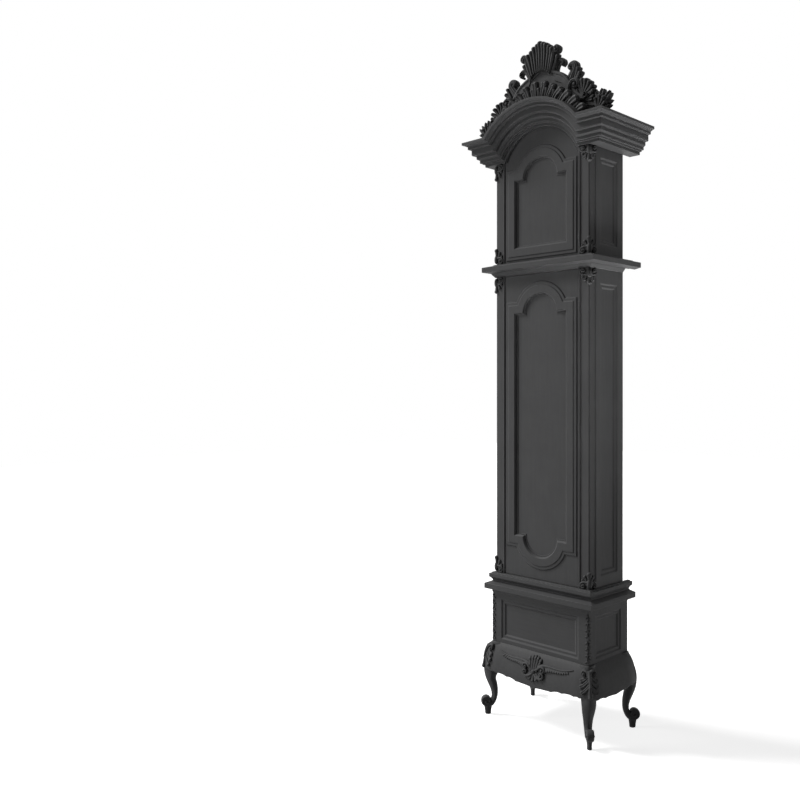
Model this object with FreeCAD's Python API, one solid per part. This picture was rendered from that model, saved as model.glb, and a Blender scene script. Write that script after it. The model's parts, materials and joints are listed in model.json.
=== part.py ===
import FreeCAD, Part
import math
import os

V = FreeCAD.Vector

# Longcase clock, in millimetres. X to the right, -Y to the front, Z up,
# origin on the floor under the middle of the clock.

# Clearances and cuts
run_gap = 0.3
seat_gap = 0.2
pin_gap = 0.05
sill_gap = 1.2
overrun = 400.0

# Body of the trunk and the hood, which share one section
body_half = 222.0
body_front = -102.8
body_back = 112.0
post_inset = 4.0
post_chamfer = 4.0
post_depth = 32.8
side_bevel = 4.0
side_board = 16.0
rail_depth = 20.0
post_face = 48.0
door_gap = 0.5
door_board = 16.0
bead_width = 11.0
bead_proud = 4.0
bead_flat = 4.0

# Heights, stacked from the floor up
leg_height = 290.0
plinth_height = 192.0
plinth_top = 13.3
lower_moulding_height = 42.7
upper_moulding_height = 22.0
trunk_height = 1248.4
slab_height = 19.1
hood_height = 404.2
cornice_height = 94.7

# Plinth
plinth_stand = 0.5
plinth_front = -117.0
plinth_back = 142.8
plinth_board = 18.0
plinth_floor_board = 12.0
plinth_lip = 2.0
plinth_margin_x = 42.5
plinth_margin_low = 14.0
plinth_margin_high = 23.0
plinth_side_margin = 45.0
plinth_well_margin = 34.5
recess_bevel = 6.0
recess_flat = 8.0
recess_step = 4.0

# Garlands on the plinth's front corners
garland_leaf = 8.0
garland_stem = 4.5
garland_count = 9
garland_end = 10.0

# Mouldings round the body: how far each stands out at the side and the front
moulding_back = 156.0
moulding_return = 16.0
lower_side = 28.0
lower_out = 35.0
lower_profile_shares = (
    (1.0, 0.0), (1.0, 0.47), (0.28, 0.68), (0.24, 0.75), (0.29, 0.86), (0.42, 0.95), (0.44, 1.0),
)
upper_side = 14.5
upper_out = 22.5
upper_profile_shares = ((0.84, 0.0), (1.0, 0.15), (1.0, 0.74), (0.6, 0.78), (0.57, 0.95), (0.12, 1.0))
throat_height = 21.2
throat_side = 12.0
throat_out = 12.0
throat_profile_shares = ((0.0, 0.0), (0.8, 0.54), (1.0, 0.74), (1.0, 1.0))
slab_side = 39.0
slab_out = 37.9
slab_back = 176.0
slab_bead = 11.0
slab_lip = 5.2
slab_bead_shares = (0.1, 0.21)

# Cornice: (side share, front share, low share, high share) of each step
cornice_side = 104.4
cornice_out = 84.2
cornice_back = 161.0
cornice_step_shares = (
    (0.415, 0.129, 0.0, 0.112), (0.488, 0.216, 0.117, 0.16), (0.571, 0.295, 0.166, 0.28),
    (0.642, 0.437, 0.33, 0.463), (0.75, 0.61, 0.47, 0.49), (0.762, 0.623, 0.5, 0.713),
    (0.857, 0.765, 0.725, 0.83), (0.93, 0.88, 0.87, 0.88), (1.0, 1.0, 0.9, 1.0),
)
arch_drop = 77.0
arch_step = 13.5
arch_band = 90.4
arch_rail = 22.0
arch_margin = 6.0
top_board = 12.0

# Doors: a framed board with a stepped moulding that is arched
door_ear = 4.0
door_arch_step = 40.0
door_shoulder = 53.0
door_face_shares = (0.07, 0.235, 0.29, 0.8, 0.91)
door_ring = 55.0
door_first_step = 4.0
door_second_step = 2.7
door_panel_set = 2.0
door_panel_thick = 8.0
hood_door_arch_drop = 85.0
hood_door_foot = 17.2
trunk_door_top_margin = 29.0
trunk_door_low_margin = 38.0

# Hinges, whose barrels lie in the line of the bead
barrel_radius = 3.0
hinge_pin_radius = 1.2
knuckle = 14.0
leaf_thick = 1.5
leaf_depth = 14.0
hood_hinge_shares = (0.2, 0.62)
trunk_hinge_shares = (0.12, 0.5, 0.88)

# Recessed fields in the sides: front edge and back edge, margins below and above
field_front = -38.0
field_back = 75.0
hood_field_low = 48.7
hood_field_high = 36.0
trunk_field_low = 105.4
trunk_field_high = 72.7

# Crest board: half of its outline, from the outer foot to the top
crest_thick = 20.0
crest_wing = 49.0
crest_corner = 14.0
crest_line = 3.0
crest_border = 18.0
crest_height = 238.0
crest_outline_shares = (
    (1.0, 0.235), (0.735, 0.29), (0.62, 0.415), (0.517, 0.58), (0.4, 0.735), (0.273, 0.805), (0.22, 0.9),
)

# Carvings of the crest: places are shares of the crest's half width and of its height
carving_front = 22.0
carving_back = 15.0
flute_depth = 5.0
shell_root_up = 214.0
shell_root_radius = 30.0
shell_radius = 124.3
shell_wing_share = 0.93
shell_spread = 66.0
shell_lobes = 11
curl_radius = 20.0
curl_hole = 7.0
inner_curl_share = (0.325, 0.95)
outer_curl_share = (0.528, 0.836)
horseshoe_share = (0.421, 0.899)
horseshoe_radius = 31.0
horseshoe_band = 15.0
leaf_root_share = (0.487, 0.672)
leaf_length = 64.0
leaf_angles = (5.0, 48.0)
leaf_lobes = 3
rosette_share = (0.598, 0.559)
rosette_radius = 24.0
small_shell_share = (0.672, 0.378)
small_shell_length = 60.0
small_shell_angles = (18.0, 88.0)
small_shell_lobes = 5
end_fan_share = (0.871, 0.168)
end_fan_length = 62.0
end_fan_angles = (15.0, 125.0)
end_fan_lobes = 8
end_curl_share = (1.085, 0.235)
end_curl_radius = 23.0
end_foot_share = (1.055, 0.046)

# Fringe along the arch
fringe_start_angle = 41.0
fringe_lobes = 15
fringe_end_height = 26.0
fringe_mid_height = 68.0
fringe_inset = 36.0
fringe_thick = 24.0

# Corner carvings: a volute and a hanging leaf on both faces of the corner
corner_reach = 36.0
corner_height = 62.0
corner_proud = 9.0
corner_volute_share = 0.34
corner_leaf_lobes = 4

# Bombe apron: how far it swells out of the plinth at shares of its height
apron_height = 123.0
apron_swell = 36.0
apron_swell_shares = ((0.0, 0.0), (0.12, 0.3), (0.32, 0.62), (0.55, 0.82), (0.77, 0.95), (0.96, 1.0))
apron_under_shares = ((1.0, 0.94), (0.98, 0.8))
apron_thick = 16.0
apron_scallop_shares = ((0.0, 1.0), (0.247, 0.992), (0.449, 0.927), (0.674, 0.894), (0.921, 0.886))
side_scallop_shares = ((0.0, 1.0), (0.346, 0.984), (0.693, 0.943), (1.0, 0.935))
apron_shell_height = 92.0
apron_shell_drop = 62.0
apron_relief = 8.0
apron_shell_lobes = 7
apron_leaf_share = 0.77
apron_shell_angles = (40.0, 140.0)
apron_beard_angles = (225.0, 315.0)
apron_leaf_drop = 36.0
apron_leaf_depth = 22.0

# Legs: outline in the upright plane through the corner and the middle
leg_outer_shares = (
    (0.0, 1.0), (0.46, 0.885), (0.86, 0.785), (1.0, 0.69), (0.93, 0.56), (0.7, 0.455), (0.34, 0.355),
    (0.2, 0.275),
)
leg_inner_shares = (
    (0.2, 0.085), (-0.25, 0.145), (-0.52, 0.232), (-0.6, 0.352), (-0.42, 0.482), (-0.25, 0.545),
)
leg_root = 71.0
leg_root_up = 185.0
leg_knee = 35.5
leg_scroll_radius = 22.5
leg_scroll_out = 24.5
leg_scroll_up = 51.0
leg_pad_height = 30.0
leg_pad_in = 8.0
leg_pad_out = 31.0
leg_half_width_shares = (
    (1.0, 1.0), (0.62, 1.0), (0.45, 0.8), (0.3, 0.6), (0.17, 0.58), (0.11, 0.4), (0.09, 0.33), (0.0, 0.3),
)
leg_scroll_round = 25.0
leg_half_width = 29.0
knee_carving_low = 100.0
knee_carving_half = 20.0
knee_relief = 7.0

# Back board, seat board and hood mask
back_board = 12.0
back_board_drop = 16.0
cheek_thick = 18.0
cheek_height = 290.0
cheek_front = -58.0
seat_up = 103.0
seat_board = 16.0
seat_front = -56.0
seat_back = 46.0
chain_hole = 9.0
mask_thick = 4.0
mask_margin = 8.0
mask_arch_step = 54.0

# Dial and hands
dial_up = 212.2
dial_margin = 20.0
dial_thick = 3.0
dial_front = -66.0
dial_arch_step = 54.0
ring_margin = 12.0
ring_width = 40.0
ring_thick = 1.6
foot_radius = 3.0
hour_short = 10.0
minute_short = 12.0
hand_width = 13.0
hand_thick = 1.0
hour_stand = 6.0
minute_stand = 9.4
hand_boss = 9.0
arbor_radius = 2.5
hour_pipe_radius = 4.5
arbor_nose = 3.0

# Movement frame and trains
plate_half = 60.0
plate_height = 186.0
plate_thick = 3.0
plate_front = -30.0
plate_back = 36.0
pillar_radius = 5.0
pillar_inset = 10.0
low_pillar_x = 36.0
pivot_radius = 2.0
wheel_thick = 2.4
wheel_rim = 5.0
wheel_hub = 6.0
wheel_spoke = 4.0
centre_wheel_radius = 30.3
centre_pinion_radius = 7.0
third_offset_x = 24.0
third_offset_z = 25.0
third_pinion_radius = 4.04
escape_drop = 45.0
escape_wheel_radius = 16.0
escape_pinion_radius = 3.44
escape_teeth = 30
anchor_up = 25.0
pallet_reach = 15.5
pallet_thick = 4.0
great_offset_x = 30.0
great_drop = 43.0
great_wheel_radius = 45.0
chain_wheel_radius = 20.0
chain_flange_radius = 25.0
chain_wheel_width = 12.0
chain_groove_width = 6.0
time_plane = -20.0
strike_plane = 20.0
centre_plane = 8.0
third_plane = 0.0
escape_plane = 14.0
pinion_width = 5.0

# Pendulum, hung from the back cock
cock_width = 26.0
cock_height = 20.0
cock_thick = 4.0
pendulum_y = 62.0
rod_radius = 2.6
pendulum_length = 1010.0
bob_radius = 72.0
bob_thick = 20.0
bob_rim = 4.0
nut_radius = 7.0
nut_height = 10.0
nut_drop = 12.0
crutch_length = 112.0
crutch_width = 6.0
crutch_back = 45.0
crutch_fork = 2.4

# Weights and chains
weight_radius = 35.0
weight_height = 230.0
weight_drop = 245.0
weight_cap = 6.0
hook_height = 18.0
hook_radius = 3.5
chain_radius = 2.0

# Bell and hammer
bell_radius = 36.0
bell_wall = 2.5
bell_up = 58.0
bell_post = 4.0
bell_shift = 20.0
hammer_out = 30.0
hammer_head = 5.0
hammer_gap = 1.5

# Widths worked out from the body's
post_half = body_half - post_inset
door_half = post_half - post_face
moulding_half = door_half - door_ear
door_arch = moulding_half - door_arch_step
plinth_half = body_half + plinth_stand
plinth_well_half = plinth_half - plinth_well_margin
arch_inner = door_half + arch_step
arch_outer = arch_inner + arch_band
crest_half = body_half + crest_wing
dial_half = door_half - dial_margin
dial_arch = dial_half - dial_arch_step
mask_half = dial_half - mask_margin
mask_arch = mask_half - mask_arch_step
ring_outer = dial_half - ring_margin
ring_inner = ring_outer - ring_width
hour_length = ring_inner - hour_short
minute_length = ring_outer - minute_short

# Heights worked out from the stack
plinth_z = leg_height
plinth_top_z = plinth_z + plinth_height
trunk_z = plinth_top_z + plinth_top
upper_z = trunk_z + lower_moulding_height
door_sill_z = upper_z + upper_moulding_height
slab_z = trunk_z + trunk_height
hood_z = slab_z + slab_height
cornice_z = hood_z + hood_height
cornice_top_z = cornice_z + cornice_height
arch_z = cornice_z - arch_drop
seat_z = slab_z + seat_up
dial_z = hood_z + dial_up
post_back = body_front + post_depth
door_back = body_front + door_board
opening_half = door_half + door_gap
arch_opening = arch_inner - arch_margin
bead_centre = opening_half + bead_width / 2
hinge_y = body_front - bead_proud + barrel_radius
side_inner = body_half - side_board
plate_foot_z = seat_z + seat_board
great_z = dial_z - great_drop
anchor_z = dial_z + escape_drop + anchor_up
chain_x = great_offset_x + chain_wheel_radius + chain_radius + run_gap
weight_top_z = slab_z - weight_drop / 5
bombe_z = plinth_z - apron_under_shares[-1][0] * apron_height


def box(x0, x1, y0, y1, z0, z1):
    return Part.makeBox(x1 - x0, y1 - y0, z1 - z0, V(x0, y0, z0))


def disc_y(x, z, radius, y0, y1):
    """Cylinder along Y from y0 to y1."""
    return Part.makeCylinder(radius, y1 - y0, V(x, y0, z), V(0, 1, 0))


def disc_z(x, y, radius, z0, z1):
    """Cylinder along Z from z0 to z1."""
    return Part.makeCylinder(radius, z1 - z0, V(x, y, z0))


def prism_y(points, y0, y1):
    """Straight-sided outline of (x, z) points, extruded along Y."""
    wire = Part.makePolygon([V(x, y0, z) for x, z in points] + [V(points[0][0], y0, points[0][1])])
    return Part.Face(wire).extrude(V(0, y1 - y0, 0))


def prism_x(points, x0, x1):
    """Straight-sided outline of (y, z) points, extruded along X."""
    wire = Part.makePolygon([V(x0, y, z) for y, z in points] + [V(x0, points[0][0], points[0][1])])
    return Part.Face(wire).extrude(V(x1 - x0, 0, 0))


def prism_z(points, z0, z1):
    """Straight-sided outline of (x, y) points, extruded along Z."""
    wire = Part.makePolygon([V(x, y, z0) for x, y in points] + [V(points[0][0], points[0][1], z0)])
    return Part.Face(wire).extrude(V(0, 0, z1 - z0))


def mirror_x(shape):
    return shape.mirror(V(0, 0, 0), V(1, 0, 0))


def both_sides(shape):
    return [shape, mirror_x(shape)]


def smooth_face(points):
    """Face in the XZ plane at y = 0 bounded by a curve through the points and a closing line."""
    curve = Part.BSplineCurve()
    curve.interpolate([V(x, 0, z) for x, z in points])
    closing = Part.LineSegment(V(points[-1][0], 0, points[-1][1]), V(points[0][0], 0, points[0][1]))
    return Part.Face(Part.Wire([curve.toShape(), closing.toShape()]))


def segment(a, b, y=0):
    """Straight edge between two (x, z) points in the plane at y."""
    return Part.LineSegment(V(a[0], y, a[1]), V(b[0], y, b[1])).toShape()


def polar(centre, radius, degrees):
    angle = math.radians(degrees)
    return centre[0] + radius * math.cos(angle), centre[1] + radius * math.sin(angle)


def save(name, pieces):
    """Writes one node: a single solid, or a group of separate solids."""
    solids = [solid for piece in pieces for solid in piece.Solids]
    shape = solids[0] if len(solids) == 1 else Part.makeCompound(solids)
    shape.exportStep("parts/" + name + ".step")


def one(piece, *cutters):
    """Cuts a piece and drops crumbs smaller than the main solid."""
    result = piece.cut(list(cutters)) if cutters else piece
    return max(result.Solids, key=lambda solid: solid.Volume)


def fused(pieces):
    first = pieces[0]
    return first.fuse(pieces[1:]).removeSplitter() if len(pieces) > 1 else first


def moulding(profile_shares, z0, height, side, out, back, rear=0):
    """Block moulded on the front and sides from (projection, height) shares; its back goes in by rear."""
    rows = [(share, z0 + up * height) for share, up in profile_shares]
    front = [(body_front - share * out, z) for share, z in rows]
    front += [(back - (1 - share) * rear, z) for share, z in reversed(rows)]
    right = [(body_half + share * side, z) for share, z in rows]
    left = [(-x, z) for x, z in reversed(right)]
    across = prism_x(front, -body_half - side, body_half + side)
    along = prism_y(right + left, body_front - out, back)
    return across.common(along)


def body_core(z0, z1, back):
    """Space that the body takes inside a moulding."""
    return box(-body_half, body_half, body_front, back + overrun, z0 - overrun, z1 + overrun)


def recess(corner0, corner1, place):
    """Stepped recess: two bevels with a flat between them; place maps (u, v, depth) to a point."""
    def ring(inset, depth):
        u0, v0 = corner0[0] + inset, corner0[1] + inset
        u1, v1 = corner1[0] - inset, corner1[1] - inset
        corners = [place(u0, v0, depth), place(u1, v0, depth), place(u1, v1, depth), place(u0, v1, depth)]
        return Part.makePolygon(corners + [corners[0]])
    first = Part.makeLoft([ring(0, 0), ring(recess_bevel, recess_step)], True, True)
    inset = recess_bevel + recess_flat
    second = Part.makeLoft([ring(inset, recess_step), ring(inset + recess_bevel, 2 * recess_step)],
                           True, True)
    return first.fuse(second)


def fan(root, root_radius, tip_radius, start, end, lobes, y_front, y_back):
    """Fluted fan with rounded lobes: a scalloped outline with a groove between each two lobes."""
    step = (end - start) / lobes
    edges = []
    for i in range(lobes):
        low, high = start + i * step, start + (i + 1) * step
        middle = (low + high) / 2
        reach_low, reach_high = tip_radius(i / lobes), tip_radius((i + 1) / lobes)
        reach = tip_radius((i + 0.5) / lobes)
        valley = 1 - 0.35 * math.radians(step)
        a, b = polar(root, reach_low * valley, low), polar(root, reach, middle)
        c = polar(root, reach_high * valley, high)
        edges.append(Part.Arc(V(a[0], 0, a[1]), V(b[0], 0, b[1]), V(c[0], 0, c[1])).toShape())
    first, last = edges[0].Vertexes[0].Point, edges[-1].Vertexes[-1].Point
    low_root, high_root = polar(root, root_radius, start), polar(root, root_radius, end)
    corners = [last, V(high_root[0], 0, high_root[1])]
    if root_radius > 0:
        corners.append(V(low_root[0], 0, low_root[1]))
    corners.append(first)
    edges += [Part.LineSegment(corners[i], corners[i + 1]).toShape() for i in range(len(corners) - 1)]
    body = Part.Face(Part.Wire(edges))
    body.translate(V(0, y_front, 0))
    body = body.extrude(V(0, y_back - y_front, 0))
    grooves = []
    for i in range(1, lobes):
        angle = start + i * step
        width = step / 5
        reach = tip_radius(i / lobes)
        near = root_radius + 0.12 * reach
        points = [polar(root, near, angle), polar(root, reach * 1.1, angle - width),
                  polar(root, reach * 1.1, angle + width)]
        grooves.append(prism_y(points, y_front, y_front + flute_depth))
    return body.cut(grooves)


def constant(radius):
    return lambda share: radius


# Base


def swell_face(place, grow):
    """Upright section of the bombe block; place(sign, out, z) gives a point that lies out from a side."""
    def row(sign, shares):
        return [place(sign, out * apron_swell + grow, plinth_z - down * apron_height) for down, out in shares]

    edges = []
    for sign in (1, -1):
        curve = Part.BSplineCurve()
        curve.interpolate(row(sign, apron_swell_shares))
        under = [curve.EndPoint] + row(sign, apron_under_shares)
        edges += [curve.toShape()] + [Part.LineSegment(a, b).toShape() for a, b in zip(under, under[1:])]
    for share in (apron_swell_shares[0], apron_under_shares[-1]):
        edges.append(Part.LineSegment(row(1, [share])[0], row(-1, [share])[0]).toShape())
    return Part.Face(Part.Wire(Part.__sortEdges__(edges)))


def bombe(grow):
    """Block under the plinth that swells out on all four sides."""
    middle = (plinth_front + plinth_back) / 2
    deep = (plinth_back - plinth_front) / 2
    wide = plinth_half + apron_swell + grow
    tall = deep + apron_swell + grow
    deep_face = swell_face(lambda sign, out, z: V(-wide, middle + sign * (deep + out), z), grow)
    wide_face = swell_face(lambda sign, out, z: V(sign * (plinth_half + out), middle - tall, z), grow)
    return deep_face.extrude(V(2 * wide, 0, 0)).common(wide_face.extrude(V(0, 2 * tall, 0)))


def leg_blank():
    """Leg in its own plane: out along +X from the corner, width along Y."""
    outer = [(out * leg_knee, up * leg_height) for out, up in leg_outer_shares]
    inner = [(out * leg_knee, up * leg_height) for out, up in leg_inner_shares]
    outer_curve = Part.BSplineCurve()
    outer_curve.interpolate([V(x, 0, z) for x, z in outer])
    inner_curve = Part.BSplineCurve()
    inner_curve.interpolate([V(x, 0, z) for x, z in inner])
    knee = [inner[-1], (-leg_root, leg_root_up), (-leg_root, leg_height), outer[0]]
    foot = [outer[-1], (leg_scroll_out, leg_scroll_up), inner[0]]
    lines = [segment(a, b) for a, b in zip(foot, foot[1:])] + [inner_curve.toShape()]
    lines += [segment(a, b) for a, b in zip(knee, knee[1:])]
    face = Part.Face(Part.Wire([outer_curve.toShape()] + lines))
    face.translate(V(0, -leg_half_width, 0))
    stem = face.extrude(V(0, 2 * leg_half_width, 0))
    disc = disc_y(leg_scroll_out, leg_scroll_up, leg_scroll_radius, -leg_half_width, leg_half_width)
    reach = leg_scroll_out + leg_scroll_radius - leg_scroll_round
    scroll = disc.common(Part.makeSphere(leg_scroll_round, V(reach, 0, leg_scroll_up)))
    pad_points = [(leg_pad_in, 0), (leg_pad_out, 0), (leg_pad_out + leg_pad_in / 2, leg_pad_height),
                  (0, leg_pad_height)]
    pad = prism_y(pad_points, -leg_half_width, leg_half_width)
    side_view = fused([stem, scroll, pad])
    half = [(wide * leg_half_width, up * leg_height) for up, wide in leg_half_width_shares]
    outline = [(y, z) for y, z in half] + [(-y, z) for y, z in reversed(half)]
    front_view = prism_x(outline, -overrun, overrun)
    return side_view.common(front_view)


def corner_blade(extra):
    """Upright slab through the corner: the part of the bombe block that belongs to a leg."""
    wide = leg_half_width + extra
    return box(-leg_root - extra, overrun, -wide, wide, -overrun, plinth_z)


def place_leg(shape, x_sign, y_sign):
    """Turns a shape from the leg's own plane to one of the four corners."""
    y = plinth_back if y_sign > 0 else plinth_front
    turned = shape.copy()
    turned.rotate(V(0, 0, 0), V(0, 0, 1), math.degrees(math.atan2(y_sign, x_sign)))
    turned.translate(V(x_sign * plinth_half, y, 0))
    return turned


def make_legs():
    block = bombe(0)
    wide = plinth_half + apron_swell + overrun
    below = box(-wide, wide, -wide, wide, -overrun, bombe_z)
    blank = leg_blank()
    names = {"front_left_leg": (-1, -1), "front_right_leg": (1, -1),
             "rear_left_leg": (-1, 1), "rear_right_leg": (1, 1)}
    for name, (x_sign, y_sign) in names.items():
        leg = place_leg(blank, x_sign, y_sign)
        save(name, [one(fused([leg.common(block), leg.common(below)]))])


def scallop(shares, half_width, reach):
    """(x, z) outline whose lower edge waves symmetrically; shares give half of it."""
    half = [(x * half_width, plinth_z - drop * apron_height) for x, drop in shares]
    left = [(-x, z) for x, z in reversed(half[1:])]
    curve = Part.BSplineCurve()
    curve.interpolate([V(x, 0, z) for x, z in left + half])
    corners = [half[-1], (reach, half[-1][1]), (reach, plinth_z)]
    corners += [(-reach, plinth_z), (-reach, half[-1][1]), left[0]]
    lines = [segment(a, b) for a, b in zip(corners, corners[1:])]
    return Part.Face(Part.Wire([curve.toShape()] + lines))


def make_aprons():
    block = bombe(0)
    inner = box(-plinth_half + apron_thick, plinth_half - apron_thick, plinth_front + apron_thick,
                plinth_back - apron_thick, -overrun, plinth_z)
    blades = [place_leg(corner_blade(seat_gap), x, y) for x in (-1, 1) for y in (-1, 1)]
    wide = plinth_half + apron_swell
    front_face = scallop(apron_scallop_shares, plinth_half, wide)
    front_face.translate(V(0, plinth_front - wide, 0))
    front_cut = front_face.extrude(V(0, wide, 0))
    middle = (plinth_front + plinth_back) / 2
    side_face = scallop(side_scallop_shares, (plinth_back - plinth_front) / 2, wide)
    side_face.rotate(V(0, 0, 0), V(0, 0, 1), 90)
    side_face.translate(V(plinth_half - apron_thick, middle, 0))
    side_cut = side_face.extrude(V(wide, 0, 0))
    ring = block.cut([inner] + blades)
    front = ring.common(front_cut).common(box(-wide, wide, -wide, plinth_front + apron_thick, 0, plinth_z))
    back_cut = front_cut.copy().mirror(V(0, middle, 0), V(0, 1, 0))
    back = ring.common(back_cut).common(box(-wide, wide, plinth_back - apron_thick, wide, 0, plinth_z))
    side = ring.common(side_cut)
    save("apron_front", [one(front)])
    save("apron_sides_and_back", both_sides(one(side)) + [one(back)])


def make_apron_carving():
    """Shell and two leaves in low relief on the swelling face of the front apron."""
    skin = bombe(apron_relief).cut(bombe(0))
    front = plinth_front - apron_swell - overrun / 4
    root = (0, plinth_z - apron_shell_drop)
    up = apron_shell_height * 0.56
    shell = fan(root, 0, constant(up), *apron_shell_angles, apron_shell_lobes, front, plinth_front)
    beard = fan(root, 0, constant(up * 0.75), *apron_beard_angles, apron_shell_lobes - 2, front, plinth_front)
    heart = disc_y(0, root[1], up * 0.4, front, plinth_front)
    leaf_top = plinth_z - apron_leaf_drop
    reach = plinth_half * apron_leaf_share
    depth = apron_leaf_depth
    leaf = smooth_face([(0, root[1] + depth / 4), (reach * 0.25, leaf_top),
                        (reach * 0.6, leaf_top - depth * 0.25), (reach, leaf_top - depth * 0.1),
                        (reach * 0.7, leaf_top - depth * 0.85), (reach * 0.3, root[1] - depth * 0.3),
                        (0, root[1] - depth / 4)])
    leaf.translate(V(0, front, 0))
    leaf = leaf.extrude(V(0, plinth_front - front, 0))
    outline = fused([shell, beard, heart, leaf, mirror_x(leaf)])
    save("apron_carving", [one(outline.common(skin))])


def make_knee_carvings():
    """Long leaf on each front knee, in relief on the corner."""
    inside = bombe(0)
    outside = bombe(knee_relief)
    top = plinth_z
    foot = plinth_z - knee_carving_low
    half = knee_carving_half
    leaf = smooth_face([(0, foot), (half * 0.7, foot + half), (half * 0.45, foot + 2 * half),
                        (half, foot + 3.2 * half), (half * 0.5, foot + 4.3 * half), (0, top)])
    mirrored = leaf.mirror(V(0, 0, 0), V(1, 0, 0))
    slab = fused([shape.extrude(V(0, overrun, 0)) for shape in (leaf, mirrored)])
    slab.rotate(V(0, 0, 0), V(0, 0, 1), -90)
    legs = leg_blank()
    grown = [place_leg(legs.translated(V(knee_relief, 0, 0)).fuse(legs), sign, -1) for sign in (-1, 1)]
    core = [place_leg(legs, sign, -1) for sign in (-1, 1)]
    carvings = []
    for sign, thick, thin in zip((-1, 1), grown, core):
        blade = place_leg(slab, sign, -1)
        carvings.append(one(thick.common(blade).common(outside), thin.common(inside)))
    save("knee_carvings", carvings)


def make_plinth():
    low, high = plinth_z, plinth_top_z
    board = box(-plinth_half, plinth_half, plinth_front, plinth_front + plinth_board, low, high)
    field_low, field_high = low + plinth_margin_low, high - plinth_margin_high
    field_half = plinth_half - plinth_margin_x
    field = recess((-field_half, field_low), (field_half, field_high),
                   lambda u, v, depth: V(u, plinth_front + depth, v))
    save("plinth_front", [one(board, field)])
    inner = plinth_half - plinth_board
    side = box(inner, plinth_half, plinth_front + plinth_board, plinth_back, low, high)
    side_field = recess((plinth_front + plinth_side_margin, field_low),
                        (plinth_back - plinth_side_margin, field_high),
                        lambda u, v, depth: V(plinth_half - depth, u, v))
    back = box(-inner, inner, plinth_back - plinth_floor_board, plinth_back, low, high)
    floor = box(-inner, inner, plinth_front + plinth_board, plinth_back - plinth_floor_board,
                low, low + plinth_floor_board)
    lip_half = plinth_half + plinth_lip
    frame = box(-lip_half, lip_half, plinth_front - plinth_lip, plinth_back, high, trunk_z)
    well = box(-plinth_well_half, plinth_well_half, post_back, body_back - back_board,
               high - overrun, trunk_z + overrun)
    save("plinth_carcass", both_sides(one(side, side_field)) + [back, floor, frame.cut(well)])


def make_garlands():
    """String of leaves down each front corner of the plinth."""
    low, high = plinth_z + garland_end, plinth_top_z - garland_end
    pieces = [disc_z(plinth_half, plinth_front, garland_stem, low, high)]
    step = (high - low - 2 * garland_leaf) / (garland_count - 1)
    for i in range(garland_count):
        z = low + garland_leaf + i * step
        pieces.append(Part.makeSphere(garland_leaf, V(plinth_half, plinth_front, z)))
    plinth = box(-plinth_half, plinth_half, plinth_front, plinth_back, plinth_z, plinth_top_z)
    save("plinth_garlands", both_sides(one(fused(pieces), plinth)))


def make_base_mouldings():
    lower = moulding(lower_profile_shares, trunk_z, lower_moulding_height, lower_side, lower_out,
                     moulding_back, moulding_return)
    upper = moulding(upper_profile_shares, upper_z, upper_moulding_height, upper_side, upper_out,
                     moulding_back, moulding_return)
    core = body_core(trunk_z, door_sill_z, moulding_back)
    save("base_mouldings", [lower.cut(core), upper.cut(core)])


# Trunk and hood boards


def side_boards(z0, z1, field_low, field_high):
    outline = [(side_inner, post_back), (body_half - side_bevel, post_back),
               (body_half, post_back + side_bevel), (body_half, body_back), (side_inner, body_back)]
    board = prism_z(outline, z0, z1)
    field = recess((field_front, z0 + field_low), (field_back, z1 - field_high),
                   lambda u, v, depth: V(body_half - depth, u, v))
    return both_sides(one(board, field))


def post(z0, z1):
    outline = [(opening_half, body_front), (post_half - post_chamfer, body_front),
               (post_half, body_front + post_chamfer), (post_half, post_back), (opening_half, post_back)]
    return prism_z(outline, z0, z1)


def hinge_heights(z0, z1, shares):
    return [z0 + share * (z1 - z0) for share in shares]


def hinge_notches(heights):
    """Room in the right bead and post for the barrels and the fixed leaves."""
    half = 1.5 * knuckle + run_gap
    wide = barrel_radius + run_gap
    near = opening_half - door_gap
    notches = []
    for z in heights:
        low, high = z - half, z + half
        notches.append(box(near, bead_centre + wide, -overrun, hinge_y + wide, low, high))
        notches.append(box(near, opening_half + leaf_thick, hinge_y, door_back, low, high))
    return notches


def leaf_notches(heights):
    """Room in the door's edge for the moving leaves."""
    half = knuckle / 2 + run_gap
    back = door_back - (door_board - leaf_depth)
    near = door_half - leaf_thick
    return [box(near, door_half + door_gap, -overrun, back, z - half, z + half) for z in heights]


def moving_leaves(heights):
    leaves = []
    for z in heights:
        low, high = z - knuckle / 2 + run_gap, z + knuckle / 2 - run_gap
        barrel = disc_z(bead_centre, hinge_y, barrel_radius, low, high)
        front = hinge_y - leaf_thick / 2
        web = box(door_half - leaf_thick, bead_centre, front, front + leaf_thick, low, high)
        plate = box(door_half - leaf_thick, door_half, front, body_front + leaf_depth, low, high)
        bore = disc_z(bead_centre, hinge_y, hinge_pin_radius + pin_gap, low - overrun, high + overrun)
        leaves.append(one(fused([barrel, web, plate]), bore))
    return leaves


def fixed_leaves(heights):
    """Fixed leaves with two knuckles each, and their pins."""
    pieces = []
    for z in heights:
        low, high = z - 1.5 * knuckle, z + 1.5 * knuckle
        barrels = [disc_z(bead_centre, hinge_y, barrel_radius, low, z - knuckle / 2),
                   disc_z(bead_centre, hinge_y, barrel_radius, z + knuckle / 2, high)]
        start = hinge_y + barrel_radius + run_gap
        plate = box(opening_half, opening_half + leaf_thick, start, body_front + leaf_depth, low, high)
        arms = [box(opening_half, bead_centre, hinge_y, start, z0, z1)
                for z0, z1 in ((low, z - knuckle / 2), (z + knuckle / 2, high))]
        bore = disc_z(bead_centre, hinge_y, hinge_pin_radius + pin_gap, low - overrun, high + overrun)
        pieces.append(one(fused([plate] + barrels + arms), bore))
        pieces.append(disc_z(bead_centre, hinge_y, hinge_pin_radius, low, high))
    return pieces


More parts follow.
